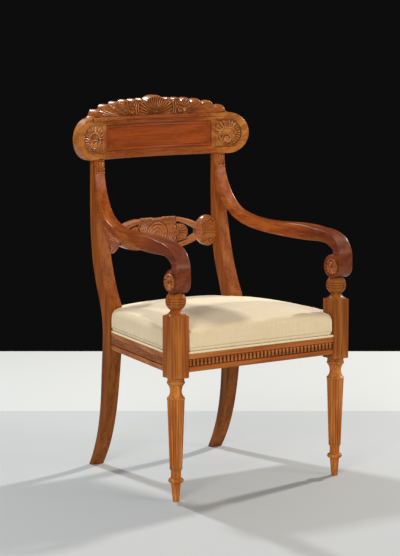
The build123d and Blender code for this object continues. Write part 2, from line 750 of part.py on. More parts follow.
with BuildPart() as mid_rail:
    with BuildSketch(mid_rail_plane):
        with BuildLine():
            Line((0, half_height), (band_end_x, half_height))
            ThreePointArc((band_end_x, half_height),
                          ((band_end_x + waist_x) / 2, (half_height + half_waist) / 2 + strap_bulge),
                          (waist_x, half_waist))
            ThreePointArc((waist_x, half_waist), ((waist_x + post_inner_x) / 2, half_height),
                          (post_inner_x, shell_edge_height))
            Line((post_inner_x, shell_edge_height), (post_inner_x, 0))
            mirror(about=Plane.XZ)
            mirror(about=Plane.YZ)
        make_face()
        for hand in (1, -1):
            with BuildLine():
                ThreePointArc((hand * band_end_x, strap_inner),
                              (hand * (band_end_x + opening_tip_x) / 2, strap_inner - opening_bulge),
                              (hand * opening_tip_x, opening_tip_height / 2))
                mirror(about=Plane.XZ)
                Line((hand * band_end_x, strap_inner), (hand * band_end_x, -strap_inner))
                Line((hand * opening_tip_x, opening_tip_height / 2),
                     (hand * opening_tip_x, -opening_tip_height / 2))
            make_face(mode=Mode.SUBTRACT)
            with Locations((hand * fan_x, 0)):
                Circle(fan_radius)
    extrude(amount=-2 * mid_rail_setback)
    add(curved_slab(mid_rail_level - mid_rail_height, 2 * mid_rail_height, mid_rail_setback,
                    mid_rail_thickness, crest_half_width), mode=Mode.INTERSECT)
    with BuildSketch(front(mid_rail_setback + roundel_rise, mid_rail_level)):
        Circle(roundel_radius)
    extrude(amount=2 * roundel_rise)
    with BuildSketch(front(mid_rail_setback - roundel_rise, mid_rail_level)):
        Circle(roundel_radius - roundel_ring)
        Circle(roundel_radius - 2 * roundel_ring, mode=Mode.SUBTRACT)
        Circle(roundel_radius - 3 * roundel_ring)
        Circle(button_radius, mode=Mode.SUBTRACT)
    extrude(amount=-roundel_rise, mode=Mode.SUBTRACT)
    for hand in (1, -1):
        for i in range(band_rib_count):
            rib_x = band_rib_x + i * band_rib_pitch
            with Locations(at(hand * rib_x, mid_rail_setback - crest_bow(rib_x), mid_rail_level)):
                Cylinder(band_rib_radius, mid_rail_height - 2 * band_rib_pitch)
        with Locations(at(hand * post_inner_x, mid_rail_end_setback, mid_rail_level)):
            Box(2 * mid_rail_tenon_length, mid_rail_tenon_thickness, mid_rail_tenon_height)


# Scroll arm: bar curving down from the post, rolling over in front into a knob on the leg's ball
arm_bottom_level = arm_top_level - arm_thickness
arm_middle_setback = (post_back_setback - arm_front) / 2
arm_outer_back_x = post_top_outer_x - arm_joint_taper
arm_inner_front_x = arm_outer_front_x - arm_scroll_width
arm_plan_front = arm_front + arm_edge_round
arm_upper_sweep = [(arm_tip_setback - dx, arm_top_level + dz) for dx, dz in arm_upper_points]
arm_lower_sweep = [(arm_tip_setback - dx, arm_bottom_level + dz) for dx, dz in arm_lower_points]
roll_points = [(roll_start - dx, arm_top_level - dz) for dx, dz in arm_roll_points]
roll_end = knob_level + roll_straight
crook_setback = knob_setback - crook_depth
crook_level = knob_level + knob_radius + crook_gap

with BuildPart() as arm_right:
    with BuildSketch(side(0)):
        with BuildLine():
            Spline((arm_tip_setback, crest_bottom), *arm_upper_sweep, (arm_middle_setback, arm_top_level),
                   (roll_start, arm_top_level - arm_dip))
            Spline((roll_start, arm_top_level - arm_dip), *roll_points, (-arm_front, roll_end),
                   tangents=((-1, 0), (0, -1)))
            Polyline((-arm_front, roll_end), (-arm_front, knob_level), (knob_setback, knob_level),
                     (crook_setback, crook_level))
            Spline((crook_setback, crook_level), (roll_start - crook_run, arm_bottom_level - arm_dip),
                   (roll_start, arm_bottom_level), (arm_middle_setback, arm_bottom_level + arm_dip),
                   *arm_lower_sweep, (post_back_setback, arm_top_level + arm_joint_rise))
            Polyline((post_back_setback, arm_top_level + arm_joint_rise), (post_back_setback, crest_bottom),
                     (arm_tip_setback, crest_bottom))
        make_face()
        with Locations((knob_setback, knob_level)):
            Circle(knob_radius)
    extrude(amount=2 * arm_outer_front_x)
    with BuildSketch(level(0)):
        with BuildLine():
            ThreePointArc((arm_outer_back_x, post_back_setback), (arm_outer_middle_x, arm_middle_setback),
                          (arm_outer_front_x, -arm_plan_front))
            Line((arm_outer_front_x, -arm_plan_front), (arm_inner_front_x, -arm_plan_front))
            Spline((arm_inner_front_x, -arm_plan_front),
                   (arm_outer_middle_x - arm_middle_width, arm_middle_setback),
                   (post_inner_x + arm_neck_flare, arm_tip_setback - arm_neck_run),
                   (post_inner_x, post_back_setback))
            Line((post_inner_x, post_back_setback), (arm_outer_back_x, post_back_setback))
        make_face()
    extrude(amount=crest_bottom, mode=Mode.INTERSECT)
    long_edges = arm_right.edges().filter_by(lambda edge: edge.length > arm_thickness)
    fillet(long_edges.filter_by(Axis.X, reverse=True).filter_by(Axis.Z, reverse=True), arm_edge_round)
    with BuildSketch(side(0)):
        with BuildLine():
            Spline(*post_front_line)
            Polyline(post_front_line[-1], (2 * post_top_setback, post_block_top),
                     (2 * post_top_setback, crest_bottom), post_front_line[0])
        make_face()
    extrude(amount=2 * arm_outer_front_x, mode=Mode.SUBTRACT)
    with Locations(at(scroll_x, knob_setback, knob_level)):
        Cylinder(knob_radius - cheek_inset, arm_scroll_width + 2 * knob_cheek, rotation=(0, 90, 0))
    cheeks = arm_right.edges().filter_by(GeomType.CIRCLE)
    fillet(cheeks.group_by(Axis.X)[0] + cheeks.group_by(Axis.X)[-1], knob_edge_round)
    with Locations(at(scroll_x, knob_setback, ball_top)):
        Box(2 * arm_scroll_width, 2 * knob_radius, 2 * knob_flat,
            align=(Align.CENTER, Align.CENTER, Align.MAX), mode=Mode.SUBTRACT)
    with Locations(at(leg_x, 0, ball_top)):
        Cylinder(leg_pin_radius + fit_clearance, 2 * (leg_pin_length + fit_clearance), mode=Mode.SUBTRACT)
    with Locations(*arm_dowel_places):
        Cylinder(arm_dowel_radius + fit_clearance, arm_dowel_length + 2 * fit_clearance, rotation=(90, 0, 0),
                 mode=Mode.SUBTRACT)

with BuildPart() as arm_dowels:
    with Locations(*arm_dowel_places, *[(-x, y, z) for x, y, z in arm_dowel_places]):
        Cylinder(arm_dowel_radius, arm_dowel_length, rotation=(90, 0, 0))


# Webbing, hessian, stuffing and cover of the seat, stuffed over the rails
web_front = rail_front + upholstery_rebate
web_length = rear_rail_back - web_front
web_middle = (rear_rail_back + web_front) / 2

with BuildPart() as webbing_front_to_back:
    with Locations(at(0, web_middle, rail_top + webbing_thickness / 2)):
        with GridLocations(webbing_long_pitch, 1, webbing_long_count, 1):
            Box(webbing_width, web_length, webbing_thickness)

with BuildPart() as webbing_side_to_side:
    for i in range(webbing_cross_count):
        web_setback = web_middle + (i - (webbing_cross_count - 1) / 2) * webbing_cross_pitch
        web_reach = side_line_x(web_setback + webbing_width / 2, upholstery_rebate)
        with Locations(at(0, web_setback, rail_top + webbing_thickness * 3 / 2)):
            Box(2 * web_reach, webbing_width, webbing_thickness)

with BuildPart() as hessian:
    extrude(seat_plan(webbing_top, hessian_inset), amount=hessian_thickness)

with BuildPart() as seat_stuffing:
    add(crowned_seat(stuffing_bottom, cover_thickness + cover_gap, cover_thickness + cover_gap))

with BuildPart() as seat_cover:
    add(crowned_seat(cover_bottom, 0, 0))
    add(crowned_seat(show_wood_top, cover_thickness, cover_thickness), mode=Mode.SUBTRACT)
    for rail in (front_seat_rail, side_rail_right, rear_seat_rail):
        add(rail.part, mode=Mode.SUBTRACT)
    add(mirror(side_rail_right.part, about=Plane.YZ, mode=Mode.PRIVATE), mode=Mode.SUBTRACT)


# Piping along the lower edge of the cover, lying on the show-wood
piping_level = show_wood_top + piping_radius + cover_gap
piping_inset = upholstery_rebate - piping_radius - cover_gap
piping_skew = piping_radius + cover_gap
side_piping_start = Vector(*at(side_line_x(leg_back + piping_skew, piping_inset), leg_back + piping_skew,
                               piping_level))
side_piping_end = Vector(*at(side_line_x(post_front_setback - piping_skew, piping_inset),
                             post_front_setback - piping_skew, piping_level))
side_piping_run = side_piping_end - side_piping_start

with BuildPart() as seat_piping:
    with Locations(at(0, rail_front + piping_inset, piping_level)):
        Cylinder(piping_radius, 2 * (leg_inner_x - cover_gap), rotation=(0, 90, 0))
    with Locations(at(0, rear_rail_back + cover_gap + piping_radius, piping_level)):
        Cylinder(piping_radius, 2 * (post_inner_x - cover_gap), rotation=(0, 90, 0))
    for hand in (1, -1):
        start = (hand * side_piping_start.X, side_piping_start.Y, piping_level)
        with Locations(Plane(origin=start, z_dir=(hand * side_piping_run.X, side_piping_run.Y, 0))):
            Cylinder(piping_radius, side_piping_run.length, align=(Align.CENTER, Align.CENTER, Align.MIN))

with BuildPart() as dust_cover:
    extrude(seat_plan(rail_bottom, dust_cover_inset), amount=-dust_cover_thickness)


# Left-hand pieces mirror the right-hand ones
handed = {
    "rear_post": rear_post_right,
    "side_seat_rail": side_rail_right,
    "side_rail_moulding": side_moulding_right,
    "front_corner_block": front_corner_block_right,
    "rear_corner_block": rear_corner_block_right,
    "arm": arm_right,
}
single = {
    "front_leg_right": front_leg_right,
    "front_leg_left": front_leg_left,
    "front_seat_rail": front_seat_rail,
    "rear_seat_rail": rear_seat_rail,
    "front_rail_moulding": front_rail_moulding,
    "corner_block_screws": corner_block_screws,
    "crest_rail": crest_rail,
    "cresting": cresting,
    "mid_rail": mid_rail,
    "arm_dowels": arm_dowels,
    "webbing_front_to_back": webbing_front_to_back,
    "webbing_side_to_side": webbing_side_to_side,
    "hessian": hessian,
    "seat_stuffing": seat_stuffing,
    "seat_cover": seat_cover,
    "seat_piping": seat_piping,
    "dust_cover": dust_cover,
}

for name, right in handed.items():
    with BuildPart() as left:
        mirror(right.part, about=Plane.YZ)
    right.part.label = f"{name}_right"
    left.part.label = f"{name}_left"
    export_step(right.part, f"parts/{name}_right.step")
    export_step(left.part, f"parts/{name}_left.step")

for name, piece in single.items():
    piece.part.label = name
    export_step(piece.part, f"parts/{name}.step")
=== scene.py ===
import math

import bmesh
import bpy
import numpy as np
from bpy.props import FloatProperty, FloatVectorProperty, IntProperty, PointerProperty
from mathutils import Matrix, Vector
from mathutils.bvhtree import BVHTree


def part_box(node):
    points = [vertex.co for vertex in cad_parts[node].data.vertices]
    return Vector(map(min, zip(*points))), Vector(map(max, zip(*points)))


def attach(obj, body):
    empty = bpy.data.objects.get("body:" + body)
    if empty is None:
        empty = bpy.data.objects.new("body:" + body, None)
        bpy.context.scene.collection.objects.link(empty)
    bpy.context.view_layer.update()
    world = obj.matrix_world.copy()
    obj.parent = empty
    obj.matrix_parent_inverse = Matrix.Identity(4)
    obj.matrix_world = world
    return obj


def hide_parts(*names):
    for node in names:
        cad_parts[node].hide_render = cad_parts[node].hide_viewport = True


bl_info = {
    "name": "Carved Armchair",
    "version": (1, 0, 0),
    "blender": (4, 5, 0),
    "location": "3D Viewport > Sidebar > Chair",
    "description": "Finishes, carving and upholstery of a carved dining armchair",
    "category": "Object",
}

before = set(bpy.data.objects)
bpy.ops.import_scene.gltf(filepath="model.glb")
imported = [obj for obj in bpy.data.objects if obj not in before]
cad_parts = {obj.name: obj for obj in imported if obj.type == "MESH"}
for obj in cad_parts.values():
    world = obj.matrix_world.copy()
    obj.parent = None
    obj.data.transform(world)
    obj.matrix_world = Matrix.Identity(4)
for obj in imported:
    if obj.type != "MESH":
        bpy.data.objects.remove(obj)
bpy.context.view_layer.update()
BODY = "root"
MM = 0.001

# Grain directions, as turns that bring a timber's length to the grain's own Z axis
UPRIGHT = (0.0, 0.0, 0.0)
ACROSS = (0.0, math.radians(90), 0.0)
FRONT_TO_BACK = (math.radians(90), 0.0, 0.0)
X_AXIS, Y_AXIS, Z_AXIS = 0, 1, 2


# Settings that a user would change

def colour_property(name, description, default):
    """A colour setting."""
    return FloatVectorProperty(name=name, description=description, subtype="COLOR", size=3, min=0.0, max=1.0,
                               default=default)


def length_property(name, description, default):
    """A length setting in metres."""
    return FloatProperty(name=name, description=description, unit="LENGTH", min=0.0, default=default)


class ChairTimber(bpy.types.PropertyGroup):
    """Colours and wear of the wood."""

    honey_dark: colour_property("Honey dark", "Dark streaks of the frame's wood", (0.205, 0.041, 0.006))
    honey: colour_property("Honey", "Main colour of the frame's wood", (0.375, 0.102, 0.015))
    honey_light: colour_property("Honey light", "Light figure of the frame's wood", (0.510, 0.182, 0.033))
    handled_dark: colour_property("Handled dark", "Dark streaks of the arms' rolls", (0.075, 0.012, 0.002))
    handled: colour_property("Handled", "Main colour of the arms' rolls", (0.155, 0.027, 0.005))
    handled_light: colour_property("Handled light", "Light figure of the arms' rolls", (0.225, 0.056, 0.011))
    panel: colour_property("Panel", "Redder wood of the crest rail's sunk panel", (0.300, 0.058, 0.008))
    plain_dark: colour_property("Plain dark", "Dark streaks of the unpolished blocks", (0.300, 0.170, 0.080))
    plain: colour_property("Plain", "Main colour of the unpolished blocks", (0.420, 0.270, 0.140))
    plain_light: colour_property("Plain light", "Light figure of the unpolished blocks",
                                 (0.520, 0.360, 0.200))
    # Cavity: colour laid into the hollows where ambient occlusion finds them
    cavity: colour_property("Cavity", "Darker colour laid in the hollows of the carving", (0.045, 0.012, 0.004))
    cavity_reach: length_property("Cavity reach", "Distance over which hollows darken", 0.007)
    edge_round: length_property("Edge round", "Softening of the arrises by wear", 0.0012)


class ChairCarving(bpy.types.PropertyGroup):
    """Depths of the carved relief."""

    cresting_depth: length_property("Cresting depth", "Relief of the cresting's shell and leaves", 0.0080)
    end_depth: length_property("End depth", "Relief in the crest rail's end fields", 0.0048)
    mid_rail_depth: length_property("Mid rail depth", "Relief of the mid rail's roundel and shells", 0.0045)
    leaf_depth: length_property("Leaf depth", "Relief of the leaves on the arm scrolls", 0.0036)
    column_step: length_property("Column step", "Spacing of the relief's points", 0.0008)


class ChairSeat(bpy.types.PropertyGroup):
    """Upholstery of the seat."""

    cream: colour_property("Cream", "Main colour of the seat's cloth", (0.755, 0.620, 0.405))
    cream_shade: colour_property("Cream shade", "Darker threads of the seat's cloth", (0.680, 0.535, 0.328))
    flax: colour_property("Flax", "Webbing and base cloth", (0.330, 0.220, 0.110))
    black_cotton: colour_property("Black cotton", "Cloth under the seat", (0.030, 0.027, 0.025))
    thread_pitch: length_property("Thread pitch", "Distance between the cloth's threads", 0.0011)
    remesh_size: length_property("Remesh size", "Edge length of the cushion's mesh", 0.0034)
    swell: length_property("Swell", "Most that the stuffing may push the cloth out", 0.004)
    seam_radius: length_property("Seam radius", "Radius of the seams' cord round the uprights", 0.0024)
    stitch_radius: length_property("Stitch radius", "Size of the stitches over the piping", 0.0014)
    stitch_pitch: length_property("Stitch pitch", "Distance between the stitches", 0.0052)
    stitch_rise: length_property("Stitch rise", "Height of the stitches above the piping", 0.0125)
    pressure: FloatProperty(name="Pressure", description="Push of the stuffing in the simulation",
                            default=4.0)
    frames: IntProperty(name="Frames", description="Steps of the simulation", default=20)


class ChairStage(bpy.types.PropertyGroup):
    """Floor, light and camera."""

    floor: colour_property("Floor", "Pale floor", (0.485, 0.496, 0.500))
    white: colour_property("White", "White strip of floor behind the chair", (0.600, 0.605, 0.595))
    white_from: length_property("White from", "Depth at which the white strip starts", 0.766)
    backdrop: colour_property("Backdrop", "Dark space behind the floor", (0.004, 0.004, 0.004))
    fill: FloatProperty(name="Fill", description="Strength of the soft light from all round", default=0.31)
    azimuth: FloatProperty(name="Azimuth", description="Camera's turn round the chair", subtype="ANGLE",
                           default=math.radians(-34.5))
    pitch: FloatProperty(name="Pitch", description="Camera's height above the horizon", subtype="ANGLE",
                         default=math.radians(8.057))
    distance: length_property("Distance", "From the camera to the chair's middle", 5.449)
    slide: FloatProperty(name="Slide", description="Camera's shift to its right", unit="LENGTH",
                         default=-0.0494)
    lift: FloatProperty(name="Lift", description="Camera's shift upwards", unit="LENGTH", default=0.1374)
    lens: FloatProperty(name="Lens", description="Focal length in millimetres", default=139.75)


# Shader nodes

def feed(tree, made, values):
    """Gives a node's sockets their values or links."""
    for socket, value in values.items():
        if isinstance(value, bpy.types.NodeSocket):
            tree.links.new(value, made.inputs[socket])
        else:
            made.inputs[socket].default_value = value


def node(tree, kind, values=None, **settings):
    """New node with its settings, and with sockets given as values or as links."""
    made = tree.nodes.new(kind)
    for key, value in settings.items():
        setattr(made, key, value)
    feed(tree, made, values or {})
    return made


def mixed(tree, factor, first, second):
    """Colour between two colours."""
    made = node(tree, "ShaderNodeMix", {0: factor, 6: first, 7: second}, data_type="RGBA")
    return made.outputs[2]


def reckoned(tree, operation, first, second=0.0, third=0.0):
    """Result of a sum on values."""
    values = {0: first, 1: second, 2: third}
    return node(tree, "ShaderNodeMath", values, operation=operation).outputs[0]


def ranged(tree, value, low, high, new_low=0.0, new_high=1.0):
    """Value brought from one range to another, with soft ends."""
    values = {"Value": value, "From Min": low, "From Max": high, "To Min": new_low, "To Max": new_high}
    return node(tree, "ShaderNodeMapRange", values, interpolation_type="SMOOTHSTEP").outputs["Result"]


def new_group(name, inputs, outputs):
    """Shader group with named sockets, as the tree and the sockets that feed it."""
    tree = bpy.data.node_groups.new(name, "ShaderNodeTree")
    for socket, kind in inputs:
        tree.interface.new_socket(socket, in_out="INPUT", socket_type=kind)
    for socket, kind in outputs:
        tree.interface.new_socket(socket, in_out="OUTPUT", socket_type=kind)
    given = tree.nodes.new("NodeGroupInput").outputs
    return tree, given


def give_out(tree, results):
    """Links a group's results to its output sockets."""
    sink = tree.nodes.new("NodeGroupOutput")
    for socket, result in results.items():
        tree.links.new(result, sink.inputs[socket])


def placed_group(tree, name, values):
    """A shader group placed in a material."""
    made = tree.nodes.new("ShaderNodeGroup")
    made.node_tree = bpy.data.node_groups[name]
    feed(tree, made, values)
    return made.outputs


def stretched(tree, vector, scale, detail=3.0, distortion=0.0):
    """Noise with a size of its own along each axis."""
    mapped = node(tree, "ShaderNodeMapping", {"Vector": vector, "Scale": scale})
    noise = node(tree, "ShaderNodeTexNoise", {"Vector": mapped.outputs[0], "Scale": 1.0,
                                              "Detail": detail, "Distortion": distortion})
    return noise.outputs[0]


def make_timber_grain():
    """Streaks, figure, patches and pores of a timber whose length is the Z axis."""
    colours = [(name, "NodeSocketColor") for name in ("Dark", "Main", "Light")]
    tree, given = new_group("Timber grain", [("Vector", "NodeSocketVector"), *colours],
                            [("Color", "NodeSocketColor"), ("Streak", "NodeSocketFloat"),
                             ("Height", "NodeSocketFloat")])
    streak = stretched(tree, given["Vector"], (130.0, 130.0, 5.0), 4.0, 0.4)
    fine = stretched(tree, given["Vector"], (420.0, 420.0, 9.0), 3.0)
    pores = stretched(tree, given["Vector"], (900.0, 900.0, 36.0), 2.0)
    patches = stretched(tree, given["Vector"], (14.0, 14.0, 4.0), 2.0, 0.3)
    bent = node(tree, "ShaderNodeMapping", {"Vector": given["Vector"], "Scale": (1.0, 1.0, 0.08)})
    figure = node(tree, "ShaderNodeTexWave", {"Vector": bent.outputs[0], "Scale": 16.0, "Distortion": 5.0,
                                              "Detail": 2.0, "Detail Scale": 1.4}, bands_direction="DIAGONAL")
    lines = reckoned(tree, "MULTIPLY", streak, 0.40)
    lines = reckoned(tree, "MULTIPLY_ADD", figure.outputs["Fac"], 0.10, lines)
    lines = reckoned(tree, "MULTIPLY_ADD", fine, 0.50, lines)
    dark_to_main = mixed(tree, ranged(tree, lines, 0.38, 0.54, 0.35, 1.0), given["Dark"], given["Main"])
    light_share = reckoned(tree, "MULTIPLY", ranged(tree, lines, 0.46, 0.64),
                           ranged(tree, patches, 0.30, 0.68, 0.15, 0.9))
    with_light = mixed(tree, light_share, dark_to_main, given["Light"])
    pored = mixed(tree, ranged(tree, pores, 0.60, 0.72, 0.0, 0.30), with_light, given["Dark"])
    height = reckoned(tree, "MULTIPLY_ADD", pores, -0.6, reckoned(tree, "MULTIPLY", streak, 0.4))
    give_out(tree, {"Color": pored, "Streak": lines, "Height": height})


def make_carved_wear():
    """Hollows darkened where ambient occlusion finds them, arrises rubbed lighter, and the softened normal.
    """
    tree, given = new_group("Carved wear", [("Reach", "NodeSocketFloat"), ("Round", "NodeSocketFloat")],
                            [("Cavity", "NodeSocketFloat"), ("Edge", "NodeSocketFloat"),
                             ("Normal", "NodeSocketVector")])
    open_sky = node(tree, "ShaderNodeAmbientOcclusion", {"Distance": given["Reach"]}, samples=8,
                    only_local=True)
    rounded = node(tree, "ShaderNodeBevel", {"Radius": given["Round"]}, samples=4)
    surface = node(tree, "ShaderNodeNewGeometry")
    alike = node(tree, "ShaderNodeVectorMath", {0: rounded.outputs[0], 1: surface.outputs["Normal"]},
                 operation="DOT_PRODUCT")
    cavity = ranged(tree, open_sky.outputs["AO"], 0.92, 0.35)
    edge = reckoned(tree, "MULTIPLY", ranged(tree, alike.outputs["Value"], 0.99, 0.80),
                    ranged(tree, open_sky.outputs["AO"], 0.80, 0.97))
    give_out(tree, {"Cavity": cavity, "Edge": edge, "Normal": rounded.outputs[0]})


def make_plain_weave():
    """Crossing threads with slubs, as a shade and a height."""
    tree, given = new_group("Plain weave", [("Vector", "NodeSocketVector"), ("Pitch", "NodeSocketFloat")],
                            [("Shade", "NodeSocketFloat"), ("Height", "NodeSocketFloat")])
    turns = reckoned(tree, "DIVIDE", math.tau / 2, given["Pitch"])
    parts = node(tree, "ShaderNodeSeparateXYZ", {0: given["Vector"]})
    across, along, upward = [reckoned(tree, "SINE", reckoned(tree, "MULTIPLY", part, turns))
                             for part in parts.outputs]
    plain = reckoned(tree, "MULTIPLY", reckoned(tree, "MULTIPLY", across, along), 0.5)
    threads = reckoned(tree, "MULTIPLY_ADD", upward, 0.25, plain)
    warp = stretched(tree, given["Vector"], (520.0, 26.0, 26.0), 2.0)
    weft = stretched(tree, given["Vector"], (26.0, 520.0, 520.0), 2.0)
    slubs = reckoned(tree, "MULTIPLY", reckoned(tree, "ADD", warp, weft), 0.5)
    shade = reckoned(tree, "MULTIPLY_ADD", threads, 0.12, slubs)
    give_out(tree, {"Shade": shade, "Height": reckoned(tree, "MULTIPLY_ADD", threads, 0.5, slubs)})


def new_material(name):
    """Empty node material, as the material, its tree and its Principled BSDF."""
    material = bpy.data.materials.new(name)
    material.use_nodes = True
    tree = material.node_tree
    return material, tree, tree.nodes["Principled BSDF"]


def opaque(colour):
    """Colour with full alpha."""
    return (*colour, 1.0)


def shaded(colour, share):
    """Colour scaled by a share, up to white."""
    return tuple(min(1.0, share * value) for value in colour)


def dimmed(tones, share):
    """Tones scaled by one share."""
    return [shaded(tone, share) for tone in tones]


def toned(tones, shares):
    """Tones with their red, green and blue each scaled by a share."""
    return [tuple(share * value for share, value in zip(shares, tone)) for tone in tones]


def honey_tones():
    """Dark, main and light tones of the frame's wood."""
    wood = bpy.context.scene.chair_timber
    return wood.honey_dark, wood.honey, wood.honey_light


# Polished timber: spread of the dark hollows, and how far the rubbed arrises lighten
HOLLOW_SPREAD = 1.5
RUBBED_SHARE = 0.45


def timber_material(name, tones, grain_turn, grain_shift, coat, far_tones=None, fade=None, gloss=0.14,
                    hollow=0.66, worn=1.0):
    """Polished timber with grain along the piece, dark hollows and rubbed arrises.

    Where far tones are given, fade holds the axis and the two places between which the tones change.
    """
    wood = bpy.context.scene.chair_timber
    dark, main, light = (opaque(tone) for tone in tones)
    material, tree, shader = new_material(name)
    place = node(tree, "ShaderNodeTexCoord")
    if far_tones:
        axis, start, end = fade
        along = node(tree, "ShaderNodeSeparateXYZ", {0: place.outputs["Object"]}).outputs[axis]
        if axis == X_AXIS:
            along = reckoned(tree, "ABSOLUTE", along)
        share = ranged(tree, along, start, end)
        pairs = zip((dark, main, light), (opaque(tone) for tone in far_tones))
        dark, main, light = [mixed(tree, share, near_tone, far_tone) for near_tone, far_tone in pairs]
    turned = node(tree, "ShaderNodeMapping", {"Vector": place.outputs["Object"], "Rotation": grain_turn,
                                              "Location": grain_shift})
    grain = placed_group(tree, "Timber grain", {"Vector": turned.outputs[0], "Dark": dark, "Main": main,
                                                "Light": light})
    wear = placed_group(tree, "Carved wear", {"Reach": wood.cavity_reach * HOLLOW_SPREAD * hollow,
                                              "Round": wood.edge_round * worn})
    # Hollows darken by the ambient occlusion's share
    cavity_share = reckoned(tree, "MULTIPLY", wear["Cavity"], hollow)
    hollowed = mixed(tree, cavity_share, grain["Color"], opaque(wood.cavity))
    rubbed = mixed(tree, reckoned(tree, "MULTIPLY", wear["Edge"], RUBBED_SHARE), hollowed, light)
    bump = node(tree, "ShaderNodeBump", {"Height": grain["Height"], "Normal": wear["Normal"],
                                         "Strength": 0.12, "Distance": 0.0006})
    tree.links.new(rubbed, shader.inputs["Base Color"])
    tree.links.new(ranged(tree, grain["Streak"], 0.2, 0.8, 0.50, 0.40), shader.inputs["Roughness"])
    tree.links.new(bump.outputs[0], shader.inputs["Normal"])
    shader.inputs["Coat Weight"].default_value = coat
    shader.inputs["Coat Roughness"].default_value = gloss
    shader.inputs["Specular IOR Level"].default_value = 0.08
    return material


def cloth_material(name, main, shade, pitch, sheen):
    """Plain woven cloth."""
    material, tree, shader = new_material(name)
    place = node(tree, "ShaderNodeTexCoord")
    weave = placed_group(tree, "Plain weave", {"Vector": place.outputs["Object"], "Pitch": pitch})
    mottle = stretched(tree, place.outputs["Object"], (11.0, 11.0, 11.0), 2.0)
    threads = mixed(tree, ranged(tree, weave["Shade"], 0.25, 0.70), opaque(shade), opaque(main))
    soiled = mixed(tree, ranged(tree, mottle, 0.42, 0.75, 0.0, 0.22), threads, opaque(shade))
    bump = node(tree, "ShaderNodeBump", {"Height": weave["Height"], "Strength": 0.25, "Distance": 0.0005})
    tree.links.new(soiled, shader.inputs["Base Color"])
    tree.links.new(ranged(tree, weave["Shade"], 0.2, 0.8, 0.95, 0.80), shader.inputs["Roughness"])
    tree.links.new(bump.outputs[0], shader.inputs["Normal"])
    shader.inputs["Sheen Weight"].default_value = sheen
    shader.inputs["Specular IOR Level"].default_value = 0.20
    return material


def screw_material():
    """Dull steel with turning marks."""
    material, tree, shader = new_material("Screw steel")
    place = node(tree, "ShaderNodeTexCoord")
    marks = stretched(tree, place.outputs["Object"], (900.0, 900.0, 900.0), 3.0)
    steel = mixed(tree, marks, (0.26, 0.25, 0.24, 1.0), (0.48, 0.47, 0.45, 1.0))
    tree.links.new(steel, shader.inputs["Base Color"])
    tree.links.new(ranged(tree, marks, 0.2, 0.8, 0.30, 0.55), shader.inputs["Roughness"])
    shader.inputs["Metallic"].default_value = 1.0
    return material


# Meshes

def piece_from(name, points, faces, material, slot, sharp=50.0):
    """New mesh piece that rides on the chair, with a finish and sharp edges over an angle in degrees."""
    mesh = bpy.data.meshes.new(name)
    mesh.from_pydata([tuple(point) for point in points], [], [tuple(face) for face in faces])
    return settled(bpy.data.objects.new(name, mesh), material, sharp)


def settled(piece, material, sharp=50.0):
    """Piece linked into the scene, finished and riding on the chair."""
    if piece.name not in bpy.context.scene.collection.objects:
        bpy.context.scene.collection.objects.link(piece)
    mesh = piece.data
    mesh.materials.clear()
    mesh.materials.append(material)
    mesh.polygons.foreach_set("use_smooth", [True] * len(mesh.polygons))
    mesh.set_sharp_from_angle(angle=math.radians(sharp))
    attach(piece, BODY)
    return piece


def joined(parts):
    """Points and faces of several shells as one list of each."""
    points, faces, count = [], [], 0
    for part_points, part_faces in parts:
        points.append(np.asarray(part_points, float))
        faces.extend([tuple(index + count for index in face) for face in part_faces])
        count += len(part_points)
    return np.concatenate(points), faces


def shell_faces(rows, columns):
    """Faces of a closed shell between two grids of points, facing out on the first grid's side."""
    count = rows * columns
    index = np.arange(count).reshape(rows, columns)
    a, b, c, d = index[:-1, :-1], index[1:, :-1], index[1:, 1:], index[:-1, 1:]
    faces = np.stack([a, b, c, d], -1).reshape(-1, 4).tolist()
    faces += (np.stack([d, c, b, a], -1).reshape(-1, 4) + count).tolist()
    rim = [*index[0, :], *index[1:, -1], *index[-1, -2::-1], *index[-2:0:-1, 0]]
    for this, following in zip(rim, rim[1:] + rim[:1]):
        faces.append((this, following, following + count, this + count))
    return faces


def relief_slab(columns, low, high, rows, face, back, place):
    """Closed slab of columns that each run from a low to a high edge, with a carved face and a plain back.

    Columns, edges and depths are in millimetres, and place turns (across, up, depth) into the chair's frame.
    """
    across = np.repeat(np.asarray(columns, float)[:, None], rows, axis=1)
    share = np.linspace(0.0, 1.0, rows)[None, :]
    up = low(across) * (1 - share) + high(across) * share
    front = place(across, up, face(across, up)).reshape(-1, 3)
    rear = place(across, up, np.full_like(up, back)).reshape(-1, 3)
    return np.concatenate([front, rear]), shell_faces(len(columns), rows)


def taken_out(made, shift=(0.0, 0.0, 0.0)):
    """Points, moved by a shift, and faces of an edit mesh, which is then freed."""
    made.verts.index_update()
    points = [vert.co + Vector(shift) for vert in made.verts]
    faces = [[vert.index for vert in face.verts] for face in made.faces]
    made.free()
    return points, faces


# Distances, in metres, under which points are merged: in carvings, and in the CAD nodes' meshes
MERGE_DISTANCE = 0.02 * MM
SAME_POINT = 1e-6


def cleaned(points, faces):
    """Points and faces with doubled points merged, thin faces dropped and outward normals."""
    made = bmesh.new()
    corners = [made.verts.new(point) for point in points]
    for face in faces:
        made.faces.new([corners[index] for index in face])
    bmesh.ops.remove_doubles(made, verts=made.verts, dist=MERGE_DISTANCE)
    bmesh.ops.dissolve_degenerate(made, edges=made.edges, dist=MERGE_DISTANCE)
    bmesh.ops.recalc_face_normals(made, faces=made.faces)
    return taken_out(made)


def bead(middle, radius):
    """Small round bead as points and faces."""
    made = bmesh.new()
    bmesh.ops.create_icosphere(made, subdivisions=2, radius=radius)
    return taken_out(made, middle)


def straight_edge(level):
    """Edge of a slab at one level."""
    return lambda across: np.full_like(across, level)


def arc_edge(radius, start=0.0):
    """Edge of a slab that is straight up to a start, and from there closes in an arc."""
    return lambda across: np.sqrt(np.clip(radius ** 2 - np.clip(across - start, 0.0, None) ** 2, 0.0, None))


def mirrored(edge):
    """Edge of a slab turned upside down."""
    return lambda across: -edge(across)


